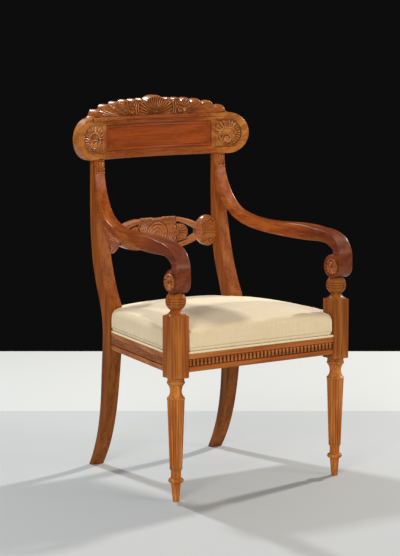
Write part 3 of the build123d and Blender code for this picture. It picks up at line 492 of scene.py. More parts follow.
def even_columns(start, end, step):
    """Columns at an even step from start to end."""
    return np.linspace(start, end, max(2, int(round((end - start) / step)) + 1))


def round_ended_columns(start, end, step):
    """Columns that crowd towards both ends, for outlines that close in an arc."""
    turn = np.linspace(math.pi, 0.0, max(8, int(round((end - start) / step)) + 1))
    return (start + end) / 2 + (end - start) / 2 * np.cos(turn)


def soft_step(low, high, value):
    """Rises from 0 at low to 1 at high."""
    share = np.clip((value - low) / (high - low), 0.0, 1.0)
    return share * share * (3 - 2 * share)


def within(value, limits):
    """Where a value lies between two limits."""
    return (value > limits[0]) & (value < limits[1])


def rounded_bar(distance, half_width):
    """Round-backed bar by the distance from its middle line."""
    return np.sqrt(np.clip(1 - (distance / half_width) ** 2, 0.0, 1.0))


# Flutes: width of the rise at their inner end, and places about their outer end between which they fall
FLUTE_RISE = 3.0
FLUTE_FALL = (0.1, -2.0)


def radial_flutes(x, z, centre, low, high, count, inner, outer):
    """Flutes that spread from a centre between two angles in degrees and two radii."""
    angle = np.degrees(np.arctan2(z - centre[1], x - centre[0]))
    radius = np.hypot(x - centre[0], z - centre[1])
    share = (angle - low) / (high - low)
    flute = np.abs(np.sin(math.pi * count * np.clip(share, 0.0, 1.0)))
    spread = within(share, (0.0, 1.0))
    rise = soft_step(inner, inner + FLUTE_RISE, radius)
    fall = soft_step(outer + FLUTE_FALL[0], outer + FLUTE_FALL[1], radius)
    return np.where(spread, np.sqrt(flute) * (rise * fall), 0.0)


# Volutes: share of the radius that the bulb takes, and the width in which the outer ridge fades
BULB_SHARE = 0.45
RIDGE_FADE = 1.5


def volute(x, z, centre, radius, pitch, turn):
    """Spiral ridge round a bulb."""
    distance = np.hypot(x - centre[0], z - centre[1])
    angle = np.arctan2(z - centre[1], x - centre[0]) / math.tau
    phase = (distance / pitch - turn * angle) % 1.0
    ridge = np.sqrt(np.clip(np.sin(math.pi * phase), 0.0, 1.0))
    ridge = ridge * soft_step(radius, radius - RIDGE_FADE, distance)
    bulb = rounded_bar(distance, BULB_SHARE * radius)
    return np.where(distance < radius, np.maximum(ridge, bulb), 0.0)


# Curve and thicknesses of the back, and its places taken from the frame, in millimetres

CREST_RADIUS = 720.0
CREST_THICKNESS = 30.0
CRESTING_THICKNESS = 24.0
MID_RAIL_THICKNESS = 17.0
crest_low, crest_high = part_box("crest_rail")
cresting_low, cresting_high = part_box("cresting")
mid_rail_low, mid_rail_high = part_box("mid_rail")
CREST_BASE = cresting_low.z / MM
CREST_MIDDLE = (crest_low.z + crest_high.z) / 2 / MM
MID_RAIL_LEVEL = (mid_rail_low.z + mid_rail_high.z) / 2 / MM
CREST_FACE = crest_high.y / MM - CREST_THICKNESS
CRESTING_FACE = cresting_high.y / MM - CRESTING_THICKNESS
MID_RAIL_FACE = mid_rail_high.y / MM - MID_RAIL_THICKNESS


def bent_place(face, level):
    """Placing on the back's curve: across and up from a level, depth towards the sitter."""

    def place(across, up, depth):
        turn = np.arcsin(np.clip(across / CREST_RADIUS, -1.0, 1.0))
        radius = CREST_RADIUS - depth
        setback = face - CREST_RADIUS + radius * np.cos(turn)
        return np.stack([radius * np.sin(turn), setback, up + level], -1) * MM

    return place


# Cresting: shell, scrolls and leaf lobes; each lobe by its distance from the middle, height and size
CRESTING_HALF = 210.0
SHELL_TOP = 50.6
SHELL_RADIUS = 40.0
BEAD_LOBE = (41.0, 43.5, 9.0)
SCROLL_LOBE = (64.0, 43.0, 14.0)
LEAF_LOBES = [(92.0, 42.0, 16.0), (122.0, 38.5, 18.0), (155.0, 32.5, 20.0), (187.0, 21.0, 18.0)]
LEAF_ROOT = (66.0, -14.0)
LEAF_LEAN = (1.2, 0.85)
LEAF_RANGE = (85.0, 5.0)
LOBE_DROP = 9.0
SHELL_ROOT = (0.0, -3.0)
BOWL = (20.0, 18.0)
BASKET_RINGS = (35.5, 42.0)
BASKET_BAR = 2.8
BASKET_REACH = (38.0, 66.0)
BASKET_FOOT = 1.0
BEAD_PLACE = (42.0, 36.0)
BEAD_RADIUS = 7.0
FAN_REACH = (60.0, 104.0)
SHELL_SIDE = (32.5, 30.0)
SHELL_WALL = (27.0, 23.0)
LEAF_START = (80.0, 96.0)
EDGE_CURL = (11.0, 3.0)
EDGE_FADE = (-0.5, 3.0)
CRESTING_ROWS = 56

# Cresting: heights of its forms as shares of the relief, and the level that lies in the face
HEART_SHARE = 0.8
FAN_SHARE = 0.9
LEAF_SHARE = 0.62
VEIN_SHARE = 0.22
LEAF_FLOOR = 0.1
CURL_SHARE = 0.30
CRESTING_LEVEL = 0.45
LEAST_REACH = 0.1


def cresting_outline(x):
    """Height of the cresting's top edge."""
    reach = np.abs(x)
    lobes = [BEAD_LOBE, SCROLL_LOBE, *LEAF_LOBES]
    core_x = [0.0, *[lobe[0] for lobe in lobes], CRESTING_HALF]
    core_z = [SHELL_TOP - LOBE_DROP, *[lobe[1] - LOBE_DROP for lobe in lobes], 0.0]
    top = np.interp(reach, core_x, core_z)
    shell = SHELL_TOP - SHELL_RADIUS + np.sqrt(np.clip(SHELL_RADIUS ** 2 - reach ** 2, 0.0, None))
    top = np.maximum(top, np.where(reach < SHELL_RADIUS, shell, 0.0))
    for lobe in lobes:
        middle, rise, radius = lobe
        inner, outer = LEAF_LEAN if lobe in LEAF_LOBES else (1.0, 1.0)
        half = np.where(reach < middle, radius * inner, radius * outer)
        arc = rise - radius + radius * np.sqrt(np.clip(1 - ((reach - middle) / half) ** 2, 0.0, None))
        top = np.maximum(top, np.where(np.abs(reach - middle) < half, arc, 0.0))
    return top


def cresting_leaves(reach, z):
    """Veined leaves that spread from one root, a leaf for each lobe, from 0 to 1."""
    angles = [math.atan2(rise - LEAF_ROOT[1], middle - LEAF_ROOT[0]) for middle, rise, _ in LEAF_LOBES]
    steep, flat = (math.radians(angle) for angle in LEAF_RANGE)
    bounds = [steep, *[(a + b) / 2 for a, b in zip(angles, angles[1:])], flat]
    angle = np.arctan2(z - LEAF_ROOT[1], np.maximum(reach - LEAF_ROOT[0], LEAST_REACH))
    leaf = np.zeros_like(z)
    for start, end in zip(bounds, bounds[1:]):
        share = np.clip((angle - (start + end) / 2) / ((start - end) / 2), -1.0, 1.0)
        vein = LEAF_SHARE * (1 - share ** 2) + VEIN_SHARE * np.cos(3 * math.pi * share) ** 2
        leaf = np.where((angle <= start) & (angle > end), vein, leaf)
    return leaf * soft_step(*LEAF_START, reach)


def cresting_shell(reach, z):
    """Fluted shell in the middle, its heart, and the two bars of the basket beside it, from 0 to 1."""
    from_bowl = np.hypot(reach - BOWL[0], z - BOWL[1])
    inside = np.maximum(soft_step(*SHELL_SIDE, from_bowl), soft_step(*SHELL_WALL, reach))
    shell = radial_flutes(reach, z, SHELL_ROOT, low=13.5, high=94.5, count=9.0, inner=15.0, outer=60.0)
    heart = radial_flutes(reach, z, SHELL_ROOT, low=6.0, high=98.0, count=6.0, inner=5.0, outer=18.0)
    basket = np.maximum.reduce([rounded_bar(from_bowl - ring, BASKET_BAR) for ring in BASKET_RINGS])
    basket = np.where(within(reach, BASKET_REACH) & (z > BASKET_FOOT), basket, 0.0)
    return np.maximum.reduce([shell * inside, HEART_SHARE * heart, basket])


def cresting_relief(x, z):
    """Carved depth of the cresting's face, from 0 to 1."""
    reach = np.abs(x)
    bulb = rounded_bar(np.hypot(reach - BEAD_PLACE[0], z - BEAD_PLACE[1]), BEAD_RADIUS)
    scroll = volute(reach, z, centre=(75.0, 9.5), radius=9.5, pitch=5.6, turn=-1.0)
    fan = radial_flutes(reach, z, (72.0, 8.0), low=32.0, high=112.0, count=6.0, inner=14.0, outer=40.0)
    fan = FAN_SHARE * fan * within(reach, FAN_REACH)
    leaves = cresting_leaves(reach, z) + LEAF_FLOOR
    raised = np.maximum.reduce([cresting_shell(reach, z), bulb, scroll, fan, leaves])
    edge = cresting_outline(x) - z
    curl = CURL_SHARE * soft_step(*EDGE_CURL, edge)
    return (raised + curl) * soft_step(*EDGE_FADE, edge)


# Crest rail's end fields
END_FIELD_X = 210.0
END_FIELD_RADIUS = 36.4
END_FIELD_REACH = 38.4
END_FIELD_FLOOR = 3.0
END_FIELD_RAISE = 0.2
END_FIELD_ROOT = 0.5
END_FIELD_ROWS = 84
END_ARC_COLUMNS = 60
END_RIM = 1.4
END_RIM_SHARE = 0.8
END_CARVING_FADE = (2.2, 4.0)
SWEEP_CENTRE = (-3.0, -6.0)
SWEEP_RADIUS = 21.5
SWEEP_BAR = 3.0
SWEEP_CUT = (-12.0, -2.0)
CROWN_SHARE = 0.85


def end_field_relief(u, v):
    """Carved depth in an end field, u outwards from the arc's centre and v upwards, from 0 to 1."""
    fan = radial_flutes(u, v, (-1.0, -3.0), low=-62.0, high=62.0, count=9.0, inner=17.0, outer=33.0)
    scroll = volute(u, v, centre=(-5.0, -15.0), radius=16.0, pitch=7.0, turn=1.0)
    sweep = rounded_bar(np.hypot(u - SWEEP_CENTRE[0], v - SWEEP_CENTRE[1]) - SWEEP_RADIUS, SWEEP_BAR)
    sweep = sweep * ((v > SWEEP_CUT[1]) | (u < SWEEP_CUT[0]))
    leaf = radial_flutes(u, v, (-4.0, 0.0), low=96.0, high=190.0, count=5.0, inner=12.0, outer=37.0)
    crown = radial_flutes(u, v, (2.0, 2.0), low=50.0, high=96.0, count=3.0, inner=13.0, outer=33.0)
    raised = np.maximum.reduce([fan, scroll, sweep, leaf, CROWN_SHARE * crown])
    edge = np.minimum(END_FIELD_RADIUS - np.where(u > 0, np.hypot(u, v), np.abs(v)), u + END_FIELD_REACH)
    ring = rounded_bar(edge - END_RIM, END_RIM)
    return np.maximum(raised * soft_step(*END_CARVING_FADE, edge), END_RIM_SHARE * ring)


# Crest rail's sunk panel; its groove and bead by their distance from the edge, half width and height
PANEL_HALF = 162.8
PANEL_RISE = 33.8
PANEL_SINK = 4.1
PANEL_GROOVE = (1.6, 1.4, -1.5)
PANEL_BEAD = (5.0, 2.2, 0.9)
PANEL_BEVEL = (6.2, 11.0)
PANEL_LEVEL = 0.2
PANEL_BACK = -5.5
PANEL_EDGE = 14.0
PANEL_EDGE_STEP = 0.5
PANEL_FIELD_STEP = 6.0
PANEL_ROWS = 136
PANEL_SHARES = (0.62, 1.0, 1.25)


def panel_relief(x, z):
    """Depth of the sunk panel's face, in millimetres: groove, bead and bevel round a flat field."""
    edge = np.minimum(PANEL_HALF - np.abs(x), PANEL_RISE - np.abs(z))
    groove, moulding = [height * rounded_bar(edge - place, half)
                        for place, half, height in (PANEL_GROOVE, PANEL_BEAD)]
    return groove + moulding - PANEL_SINK * soft_step(*PANEL_BEVEL, edge) - PANEL_LEVEL


# Mid rail: sizes and places in millimetres, from its middle
MID_HALF = 40.0
BAND_END = 58.0
WAIST_X = 122.0
WAIST_HALF = 21.0
STRAP = 11.0
OPENING_TIP = 116.0
OPENING_TIP_HALF = 6.5
FAN_X = 70.0
FAN_RADIUS = 22.0
SHELL_HALF = 30.0
SHELL_END = 171.0
ROUNDEL = 32.0
BUTTON = 7.4
RING_PITCH = 8.2
REED_START = 33.5
REED_END = 58.0
REED_PITCH = 5.4
BEADED = (13.0, 46.0)
BEAD_PITCH = 4.4
BLOCK_BOSS = (53.0, 15.0)
SHELL_BOSS = (157.0, 25.0)
SHELL_BOSS_RADIUS = 5.0
RIM_BAR = 1.8
SCALLOP = 1.3

# Round beads on the mid rail, by across, up, depth and radius; a seat holds only the last of these
EDGE_BEADS = np.arange(17.0, 52.0, 6.6)
EDGE_BEAD_SEAT = (MID_HALF + 0.4, -1.5, 3.1)
KNOBS = [(53.0, 15.0, 0.4, 5.6), (156.0, 25.0, 0.4, 5.0)]
RIM_BEAD_TURNS = np.linspace(-1.35, 1.35, 13)
RIM_BEAD_CIRCLE = 20.4
RIM_BEAD_SEAT = (0.8, 1.9)

# Rows of the mid rail's slabs, the fans' thinner back, and the depth for which its reliefs are drawn
BLOCK_ROWS, FAN_ROWS, STRAP_ROWS, SHELL_ROWS = 110, 60, 20, 90
FAN_ARC_COLUMNS = 30
FAN_BACK = 2.0 - MID_RAIL_THICKNESS
DRAWN_DEPTH = 3.0

# Mid rail: places and bow of its curves and forms
STRAP_BOW = 4.0
OPENING_BOW = 8.0
EDGE_DROP = 1.0
PLAIN_EDGE = 0.6
BUTTON_BULB = 5.0
ROUNDEL_FADE = 0.6
BLOCK_EDGE = 2.5
BLOCK_BOSS_RADIUS = 5.2
FAN_ROOT = (FAN_X - 12.0, 0.0)
FAN_SCALLOPS = 5.0
RIM_MIDDLE = 1.6
FLUTE_END = (2.6, 4.2)
LOBE = (150.0, 20.0)
LOBE_RADIUS = 21.0
LOBE_STRETCH = 1.15
RIB_ROOT = (WAIST_X - 4.0, 0.0)
STRAP_ROUND = 1.15
LEAST_HALF = 0.1

# Mid rail: heights of its forms above their ground, and how deep the ground lies below the face
RING_HEIGHT = (0.4, 2.2)
BUTTON_HEIGHT = (0.6, 2.8)
REED_HEIGHT = 1.8
BLOCK_BOSS_HEIGHT = 3.6
BLOCK_GROUND = 0.9
FAN_HEIGHT = 2.4
RIM_SHARE = 0.9
FAN_GROUND = 0.6
STRAP_HEIGHT = 1.6
STRAP_GROUND = 0.6
LOBE_HEIGHT = 0.8
RIB_HEIGHT = 1.7
SHELL_BOSS_HEIGHT = (1.4, 4.4)
SHELL_GROUND = 0.7


def through(x, a, b, c):
    """Height of the curve through three points."""
    (xa, za), (xb, zb), (xc, zc) = a, b, c
    first = za * (x - xb) * (x - xc) / ((xa - xb) * (xa - xc))
    second = zb * (x - xa) * (x - xc) / ((xb - xa) * (xb - xc))
    third = zc * (x - xa) * (x - xb) / ((xc - xa) * (xc - xb))
    return first + second + third


def strap_top(x):
    """Upper edge of a strap."""
    bend = ((BAND_END + WAIST_X) / 2, (MID_HALF + WAIST_HALF) / 2 + STRAP_BOW)
    return through(x, (BAND_END, MID_HALF), bend, (WAIST_X, WAIST_HALF))


def strap_bottom(x):
    """Lower edge of a strap, along the lens-shaped opening."""
    inner = MID_HALF - STRAP
    bend = ((BAND_END + OPENING_TIP) / 2, inner - OPENING_BOW)
    return through(x, (BAND_END, inner), bend, (OPENING_TIP, OPENING_TIP_HALF))


def shell_top(x):
    """Upper edge of an end shell."""
    return through(x, (WAIST_X, WAIST_HALF), ((WAIST_X + SHELL_END) / 2, MID_HALF), (SHELL_END, SHELL_HALF))


def block_top(x):
    """Upper edge of the middle block, with beads on each side of the roundel."""
    reach = np.abs(x)
    scallops = np.abs(np.sin(math.pi * reach / BEAD_PITCH))
    return MID_HALF - EDGE_DROP + np.where(within(reach, BEADED), scallops, PLAIN_EDGE)


def block_relief(x, z):
    """Roundel with rings, curved reeds beside it and two bosses, in millimetres."""
    radius = np.hypot(x, z)
    waves = np.sqrt(np.abs(np.sin(math.pi * (radius - BUTTON) / RING_PITCH)))
    rings = RING_HEIGHT[0] + RING_HEIGHT[1] * waves
    button = BUTTON_HEIGHT[0] + BUTTON_HEIGHT[1] * rounded_bar(radius, BUTTON_BULB)
    roundel = np.where(radius < BUTTON, button, rings)
    roundel = roundel * soft_step(ROUNDEL + ROUNDEL_FADE, ROUNDEL - ROUNDEL_FADE, radius)
    reeds = REED_HEIGHT * np.sqrt(np.abs(np.sin(math.pi * (radius - REED_START) / REED_PITCH)))
    reeds = reeds * within(radius, (REED_START, REED_END))
    from_boss = np.hypot(np.abs(x) - BLOCK_BOSS[0], np.abs(z) - BLOCK_BOSS[1])
    boss = BLOCK_BOSS_HEIGHT * rounded_bar(from_boss, BLOCK_BOSS_RADIUS)
    edge = soft_step(0.0, BLOCK_EDGE, MID_HALF - np.abs(z))
    return np.maximum.reduce([roundel, reeds * edge, boss]) - BLOCK_GROUND


def fan_rim(x, z):
    """Distance inside a fan's scalloped rim."""
    angle = np.arctan2(z, np.maximum(x - FAN_X, 0.0) + 1e-6)
    scallop = SCALLOP * np.abs(np.sin(FAN_SCALLOPS * angle))
    return FAN_RADIUS - SCALLOP + scallop - np.where(x > FAN_X, np.hypot(x - FAN_X, z), np.abs(z))


def fan_relief(x, z):
    """Radial flutes of a fan inside a toothed rim, in millimetres."""
    flute = radial_flutes(x, z, FAN_ROOT, low=-81.0, high=81.0, count=9.0, inner=6.0, outer=60.0)
    rim = rounded_bar(fan_rim(x, z) - RIM_MIDDLE, RIM_BAR)
    return FAN_HEIGHT * np.maximum(flute * soft_step(*FLUTE_END, fan_rim(x, z)), RIM_SHARE * rim) - FAN_GROUND


def strap_relief(x, z):
    """Strap with a rounded face between its two edges, in millimetres."""
    top, bottom = strap_top(x), strap_bottom(x)
    share = (np.abs(z) - (top + bottom) / 2) / np.maximum((top - bottom) / 2, LEAST_HALF)
    return STRAP_HEIGHT * rounded_bar(share, STRAP_ROUND) - STRAP_GROUND


def shell_relief(x, z):
    """Two-lobed end shell with fine ribs and bosses, in millimetres."""
    height = np.abs(z)
    lobe = rounded_bar(np.hypot((x - LOBE[0]) / LOBE_STRETCH, height - LOBE[1]), LOBE_RADIUS)
    ribs = radial_flutes(x, height, RIB_ROOT, low=0.0, high=66.0, count=7.0, inner=14.0, outer=90.0)
    from_boss = np.hypot(x - SHELL_BOSS[0], height - SHELL_BOSS[1])
    boss = SHELL_BOSS_HEIGHT[0] + SHELL_BOSS_HEIGHT[1] * rounded_bar(from_boss, SHELL_BOSS_RADIUS)
    boss = np.where(from_boss < SHELL_BOSS_RADIUS, boss, 0.0)
    edge = soft_step(*EDGE_FADE, shell_top(x) - height)
    return np.maximum(LOBE_HEIGHT * lobe + RIB_HEIGHT * ribs, boss) * edge - SHELL_GROUND


# Operators

class CHAIR_OT_shader_groups(bpy.types.Operator):
    """Make the shader groups that the finishes share."""

    bl_idname = "chair.shader_groups"
    bl_label = "Shader groups"

    def execute(self, context):
        make_timber_grain()
        make_carved_wear()
        make_plain_weave()
        return {"FINISHED"}


SOLID_SHARP = math.radians(32)


def finish_nodes(names, material):
    """Gives CAD nodes a finish."""
    for name in names:
        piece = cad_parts[name]
        piece.data.materials.clear()
        piece.data.materials.append(material)
        piece.data.polygons.foreach_set("use_smooth", [True] * len(piece.data.polygons))
        piece.data.set_sharp_from_angle(angle=SOLID_SHARP)


# Tones of the pieces, as shares of the honey wood's red, green and blue
GOLDEN = (1.06, 1.24, 1.35)
# Leg columns: golden turned wood, lightened further as painted light from the front
LEG_COLUMN_GOLD_AND_PAINTED_LIGHT = (1.2, 1.4, 1.7)
POST = (0.76, 0.70, 0.66)
CREST_BAND = (0.72, 0.60, 0.60)
ARM = (0.88, 0.70, 0.60)

# Pieces that are darker than the honey wood, each by one share
# Leg blocks: the right block is darker than the left as painted shade, for light falling off towards it
LEG_BLOCK_SHADE = {"left": 0.86, "right": 0.68}
# Posts' feet: darker as painted shade, for the lesser light that reaches them
POST_FOOT_SHADE = 0.6
SIDE_MOULDING = 0.74

# Axis and the two places, in metres, between which tones fade; the arms' places start at their front
# The legs fade from the blocks down to the columns, which carry painted light
LEG_FADE = (Z_AXIS, 0.33, 0.27)
# The posts darken down to their feet as painted shade
POST_FADE = (Z_AXIS, 0.40, 0.26)
CREST_FADE = (X_AXIS, 0.13, 0.21)
ARM_FADE = (0.24, 0.07)


class CHAIR_OT_polish_frame(bpy.types.Operator):
    """Polish the legs, posts, rails and crest rail, and finish the hidden wood and screws."""

    bl_idname = "chair.polish_frame"
    bl_label = "Polish frame"

    def execute(self, context):
        wood = context.scene.chair_timber
        honey = honey_tones()
        plain = (wood.plain_dark, wood.plain, wood.plain_light)
        # Leg columns lightened as painted light from the front, over golden turned wood
        for word, shift in (("left", (0.1, 0.3, 0.0)), ("right", (0.7, 0.2, 0.4))):
            # Blocks darkened by their shares, the right one more as painted shade
            leg = timber_material("Leg timber " + word, dimmed(honey, LEG_BLOCK_SHADE[word]), UPRIGHT, shift,
                                  coat=0.06, far_tones=toned(honey, LEG_COLUMN_GOLD_AND_PAINTED_LIGHT), fade=LEG_FADE)
            finish_nodes(["front_leg_" + word], leg)
        # Posts darkened towards their feet as painted shade
        posts = timber_material("Post timber", toned(honey, POST), UPRIGHT, (0.4, 0.9, 0.2), coat=0.05,
                                far_tones=dimmed(honey, POST_FOOT_SHADE), fade=POST_FADE)
        finish_nodes(["rear_post_left", "rear_post_right"], posts)
        crest = timber_material("Crest timber", toned(honey, CREST_BAND), ACROSS, (0.2, 0.1, 0.5), coat=0.25,
                                far_tones=toned(honey, GOLDEN), fade=CREST_FADE, gloss=0.27)
        finish_nodes(["crest_rail"], crest)
        cross_rails = timber_material("Cross rail timber", honey, ACROSS, (0.6, 0.3, 0.1), coat=0.20)
        finish_nodes(["front_seat_rail", "rear_seat_rail"], cross_rails)
        side_rails = timber_material("Side rail timber", honey, FRONT_TO_BACK, (0.3, 0.5, 0.7), coat=0.20)
        finish_nodes(["side_seat_rail_left", "side_seat_rail_right"], side_rails)
        hidden = timber_material("Plain timber", plain, UPRIGHT, (0.8, 0.1, 0.3), coat=0.0)
        finish_nodes(["front_corner_block_left", "front_corner_block_right", "rear_corner_block_left",
                      "rear_corner_block_right", "arm_dowels"], hidden)
        finish_nodes(["corner_block_screws"], screw_material())
        return {"FINISHED"}


# Ribbed mouldings: lengths in millimetres
RIB_PITCH = 11.2
RIB_HALF = 0.36 * RIB_PITCH
RIB_END = 5.0
RIB_FLOOR = 0.3
MOULDING_STEP = 0.75
MOULDING_ROWS = 25


def rib_relief(along, up, height, depth):
    """Round-ended ribs side by side, in millimetres."""
    across = np.abs((along / RIB_PITCH) % 1.0 - 0.5) * RIB_PITCH
    beyond = np.clip(np.abs(up) - (height / 2 - RIB_END), 0.0, None)
    body = rounded_bar(np.hypot(across / RIB_HALF, beyond / RIB_END), 1.0)
    return RIB_FLOOR + (depth - RIB_FLOOR) * body


def middle_of(node_name):
    """Middle of a CAD node's box."""
    return sum(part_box(node_name), Vector()) / 2


class CHAIR_OT_carve_mouldings(bpy.types.Operator):
    """Carve the ribbed mouldings of the front and side seat rails."""

    bl_idname = "chair.carve_mouldings"
    bl_label = "Carve mouldings"

    def execute(self, context):
        honey = honey_tones()
        sides = dimmed(honey, SIDE_MOULDING)
        for name, turn, tones in (("front_rail_moulding", ACROSS, honey),
                                  ("side_rail_moulding_left", FRONT_TO_BACK, sides),
                                  ("side_rail_moulding_right", FRONT_TO_BACK, sides)):
            timber = timber_material(name.replace("_", " ").capitalize() + " timber", tones, turn,
                                     (0.3, 0.5, 0.7), coat=0.6, gloss=0.26, hollow=1.0)
            piece = piece_from(name + "_carved", *cleaned(*self.ribbed_slab(name)), timber, "frame_wood")
            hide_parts(name)
        return {"FINISHED"}

    def ribbed_slab(self, name):
        """Slab of ribs in a moulding's place, facing away from the seat's middle."""
        points = np.concatenate(islands(name))
        direction = np.linalg.svd(points - points.mean(0), full_matrices=False)[2][0]
        direction = np.array([*direction[:2], 0.0]) / np.hypot(*direction[:2])
        outward = np.array([direction[1], -direction[0], 0.0])
        outward *= math.copysign(1.0, outward @ (points.mean(0) - np.array(middle_of("seat_cover"))))
        along, out, up = points @ direction, points @ outward, points[:, 2]
        length, depth, height = [np.ptp(values) / MM for values in (along, out, up)]
        start, base, level = along.min(), out.min(), (up.min() + up.max()) / 2

        def on_rail(a, v, d):
            flat = (start + a * MM)[..., None] * direction + (base + d * MM)[..., None] * outward
            return flat + np.stack([0 * v, 0 * v, level + v * MM], -1)

        spare = (length % RIB_PITCH) / 2
        return relief_slab(even_columns(0.0, length, MOULDING_STEP), straight_edge(-height / 2),
                           straight_edge(height / 2), MOULDING_ROWS,
                           lambda a, v: rib_relief(a - spare, v, height, depth), 0.0, on_rail)


class CHAIR_OT_carve_cresting(bpy.types.Operator):
    """Carve the cresting's shell, scrolls and leaf lobes."""

    bl_idname = "chair.carve_cresting"
    bl_label = "Carve cresting"

    def execute(self, context):
        carving = context.scene.chair_carving
        depth = carving.cresting_depth / MM
        columns = even_columns(-CRESTING_HALF, CRESTING_HALF, carving.column_step / MM)
        slab = relief_slab(columns, np.zeros_like, cresting_outline, CRESTING_ROWS,
                           lambda x, z: depth * (cresting_relief(x, z) - CRESTING_LEVEL),
                           -CRESTING_THICKNESS, bent_place(CRESTING_FACE, CREST_BASE))
        timber = timber_material("Cresting timber", honey_tones(), ACROSS, (0.9, 0.4, 0.1), coat=0.8,
                                 gloss=0.27)
        piece = piece_from("cresting_carved", *cleaned(*slab), timber, "frame_wood")
        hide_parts("cresting")
        return {"FINISHED"}


class CHAIR_OT_carve_crest(bpy.types.Operator):
    """Carve the crest rail: scroll, fan and leaves in its two end fields, bead and bevel round its panel."""

    bl_idname = "chair.carve_crest"
    bl_label = "Carve crest rail"

    def execute(self, context):
        carving = context.scene.chair_carving
        place = bent_place(CREST_FACE, CREST_MIDDLE)
        self.bevel_panel(context.scene.chair_timber, place)
        self.carve_ends(carving.end_depth / MM, carving.column_step / MM, place)
        return {"FINISHED"}

    def bevel_panel(self, wood, place):
        """Moulded edge and flat field of the sunk panel."""
        inner = PANEL_HALF - PANEL_EDGE
        edge = even_columns(inner, PANEL_HALF, PANEL_EDGE_STEP)
        field = even_columns(-inner, inner, PANEL_FIELD_STEP)[1:-1]
        columns = np.concatenate([-edge[::-1], field, edge])
        slab = relief_slab(columns, straight_edge(-PANEL_RISE), straight_edge(PANEL_RISE), PANEL_ROWS,
                           panel_relief, PANEL_BACK, place)
        tones = [shaded(wood.panel, share) for share in PANEL_SHARES]
        timber = timber_material("Panel timber", tones, ACROSS, (0.7, 0.2, 0.4), coat=0.35)
        piece_from("crest_panel_moulding", *cleaned(*slab), timber, "frame_wood", sharp=40.0)

    def carve_ends(self, depth, step, place):
        """Carving in the two end fields."""
        arc = END_FIELD_RADIUS * np.sin(np.linspace(0.0, math.pi / 2, END_ARC_COLUMNS))[1:]
        columns = np.concatenate([even_columns(-END_FIELD_REACH, 0.0, step), arc])
        edge = arc_edge(END_FIELD_RADIUS)
        timber = timber_material("Crest end timber", toned(honey_tones(), GOLDEN), ACROSS, (0.2, 0.1, 0.5),
                                 coat=0.7, gloss=0.27)

        def carved(u, v):
            return depth * end_field_relief(u, v) - END_FIELD_FLOOR + END_FIELD_RAISE

        for hand, word in ((1, "right"), (-1, "left")):
            slab = relief_slab(columns, mirrored(edge), edge, END_FIELD_ROWS,
                               carved, -END_FIELD_FLOOR - END_FIELD_ROOT,
                               lambda u, v, d: place(hand * (END_FIELD_X + u), v, d))
            piece_from("crest_end_carving_" + word, *cleaned(*slab), timber, "frame_wood")


class CHAIR_OT_carve_mid_rail(bpy.types.Operator):
    """Carve the pierced mid rail: roundel, reeds, fans, straps and end shells."""

    bl_idname = "chair.carve_mid_rail"
    bl_label = "Carve mid rail"

    def execute(self, context):
        carving = context.scene.chair_carving
        place = bent_place(MID_RAIL_FACE, MID_RAIL_LEVEL)
        slabs = self.slabs(carving.column_step / MM, carving.mid_rail_depth / MM / DRAWN_DEPTH, place)
        shells = [cleaned(*slab) for slab in slabs]
        for hand in (1, -1):
            for x, z, depth, radius in self.round_beads():
                shells.append(bead(place(np.array(hand * x), np.array(z), np.array(depth)), radius * MM))
        timber = timber_material("Mid rail timber", honey_tones(), ACROSS, (0.5, 0.8, 0.2), coat=1.0,
                                 gloss=0.30)
        piece = piece_from("mid_rail_carved", *joined(shells), timber, "frame_wood")
        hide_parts("mid_rail")
        return {"FINISHED"}

    def slabs(self, step, strength, place):
        """The middle block, and on each side a fan, two straps and an end shell."""

        def slab(columns, low, high, rows, relief, back=-MID_RAIL_THICKNESS, hand=1):
            return relief_slab(columns, low, high, rows, lambda x, z: strength * relief(x, z), back,
                               lambda x, z, depth: place(hand * x, z, depth))

        block_columns = even_columns(-BAND_END - 1, BAND_END + 1, step)
        fan_arc = FAN_X + FAN_RADIUS * np.sin(np.linspace(0.0, math.pi / 2, FAN_ARC_COLUMNS))[1:]
        fan_columns = np.concatenate([even_columns(BAND_END - 1, FAN_X, step), fan_arc])
        fan_edge = arc_edge(FAN_RADIUS, FAN_X)
        strap_columns = even_columns(BAND_END - 1, OPENING_TIP + 2, step)
        shell_columns = even_columns(OPENING_TIP, SHELL_END, step)
        made = [slab(block_columns, mirrored(block_top), block_top, BLOCK_ROWS, block_relief)]
        for hand in (1, -1):
            made += [
                slab(fan_columns, mirrored(fan_edge), fan_edge, FAN_ROWS, fan_relief, FAN_BACK, hand),
                slab(strap_columns, strap_bottom, strap_top, STRAP_ROWS, strap_relief, hand=hand),
                slab(strap_columns, mirrored(strap_top), mirrored(strap_bottom), STRAP_ROWS, strap_relief,
                     hand=hand),
                slab(shell_columns, mirrored(shell_top), shell_top, SHELL_ROWS, shell_relief, hand=hand),
            ]
        return made

    def round_beads(self):
        """Across, up, depth and radius of the beads on one side: top edge, knobs and the fan's rim."""
        spots = [(x, *EDGE_BEAD_SEAT) for x in EDGE_BEADS]
        for level in (1, -1):
            spots += [(x, z * level, depth, radius) for x, z, depth, radius in KNOBS]
        for turn in RIM_BEAD_TURNS:
            spots.append((FAN_X + RIM_BEAD_CIRCLE * math.cos(turn), RIM_BEAD_CIRCLE * math.sin(turn),
                          *RIM_BEAD_SEAT))
        return spots


def remeshed(name, nodes, voxel):
    """One closed mesh round CAD nodes, on an even grid."""
    made = bmesh.new()
    for node_name in nodes:
        made.from_mesh(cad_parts[node_name].data)
    mesh = bpy.data.meshes.new(name)
    made.to_mesh(mesh)
    made.free()
    piece = bpy.data.objects.new(name, mesh)
    bpy.context.scene.collection.objects.link(piece)
    grid = piece.modifiers.new("Grid", "REMESH")
    grid.mode = "VOXEL"
    grid.voxel_size = voxel
    apply_modifiers(piece)
    return piece


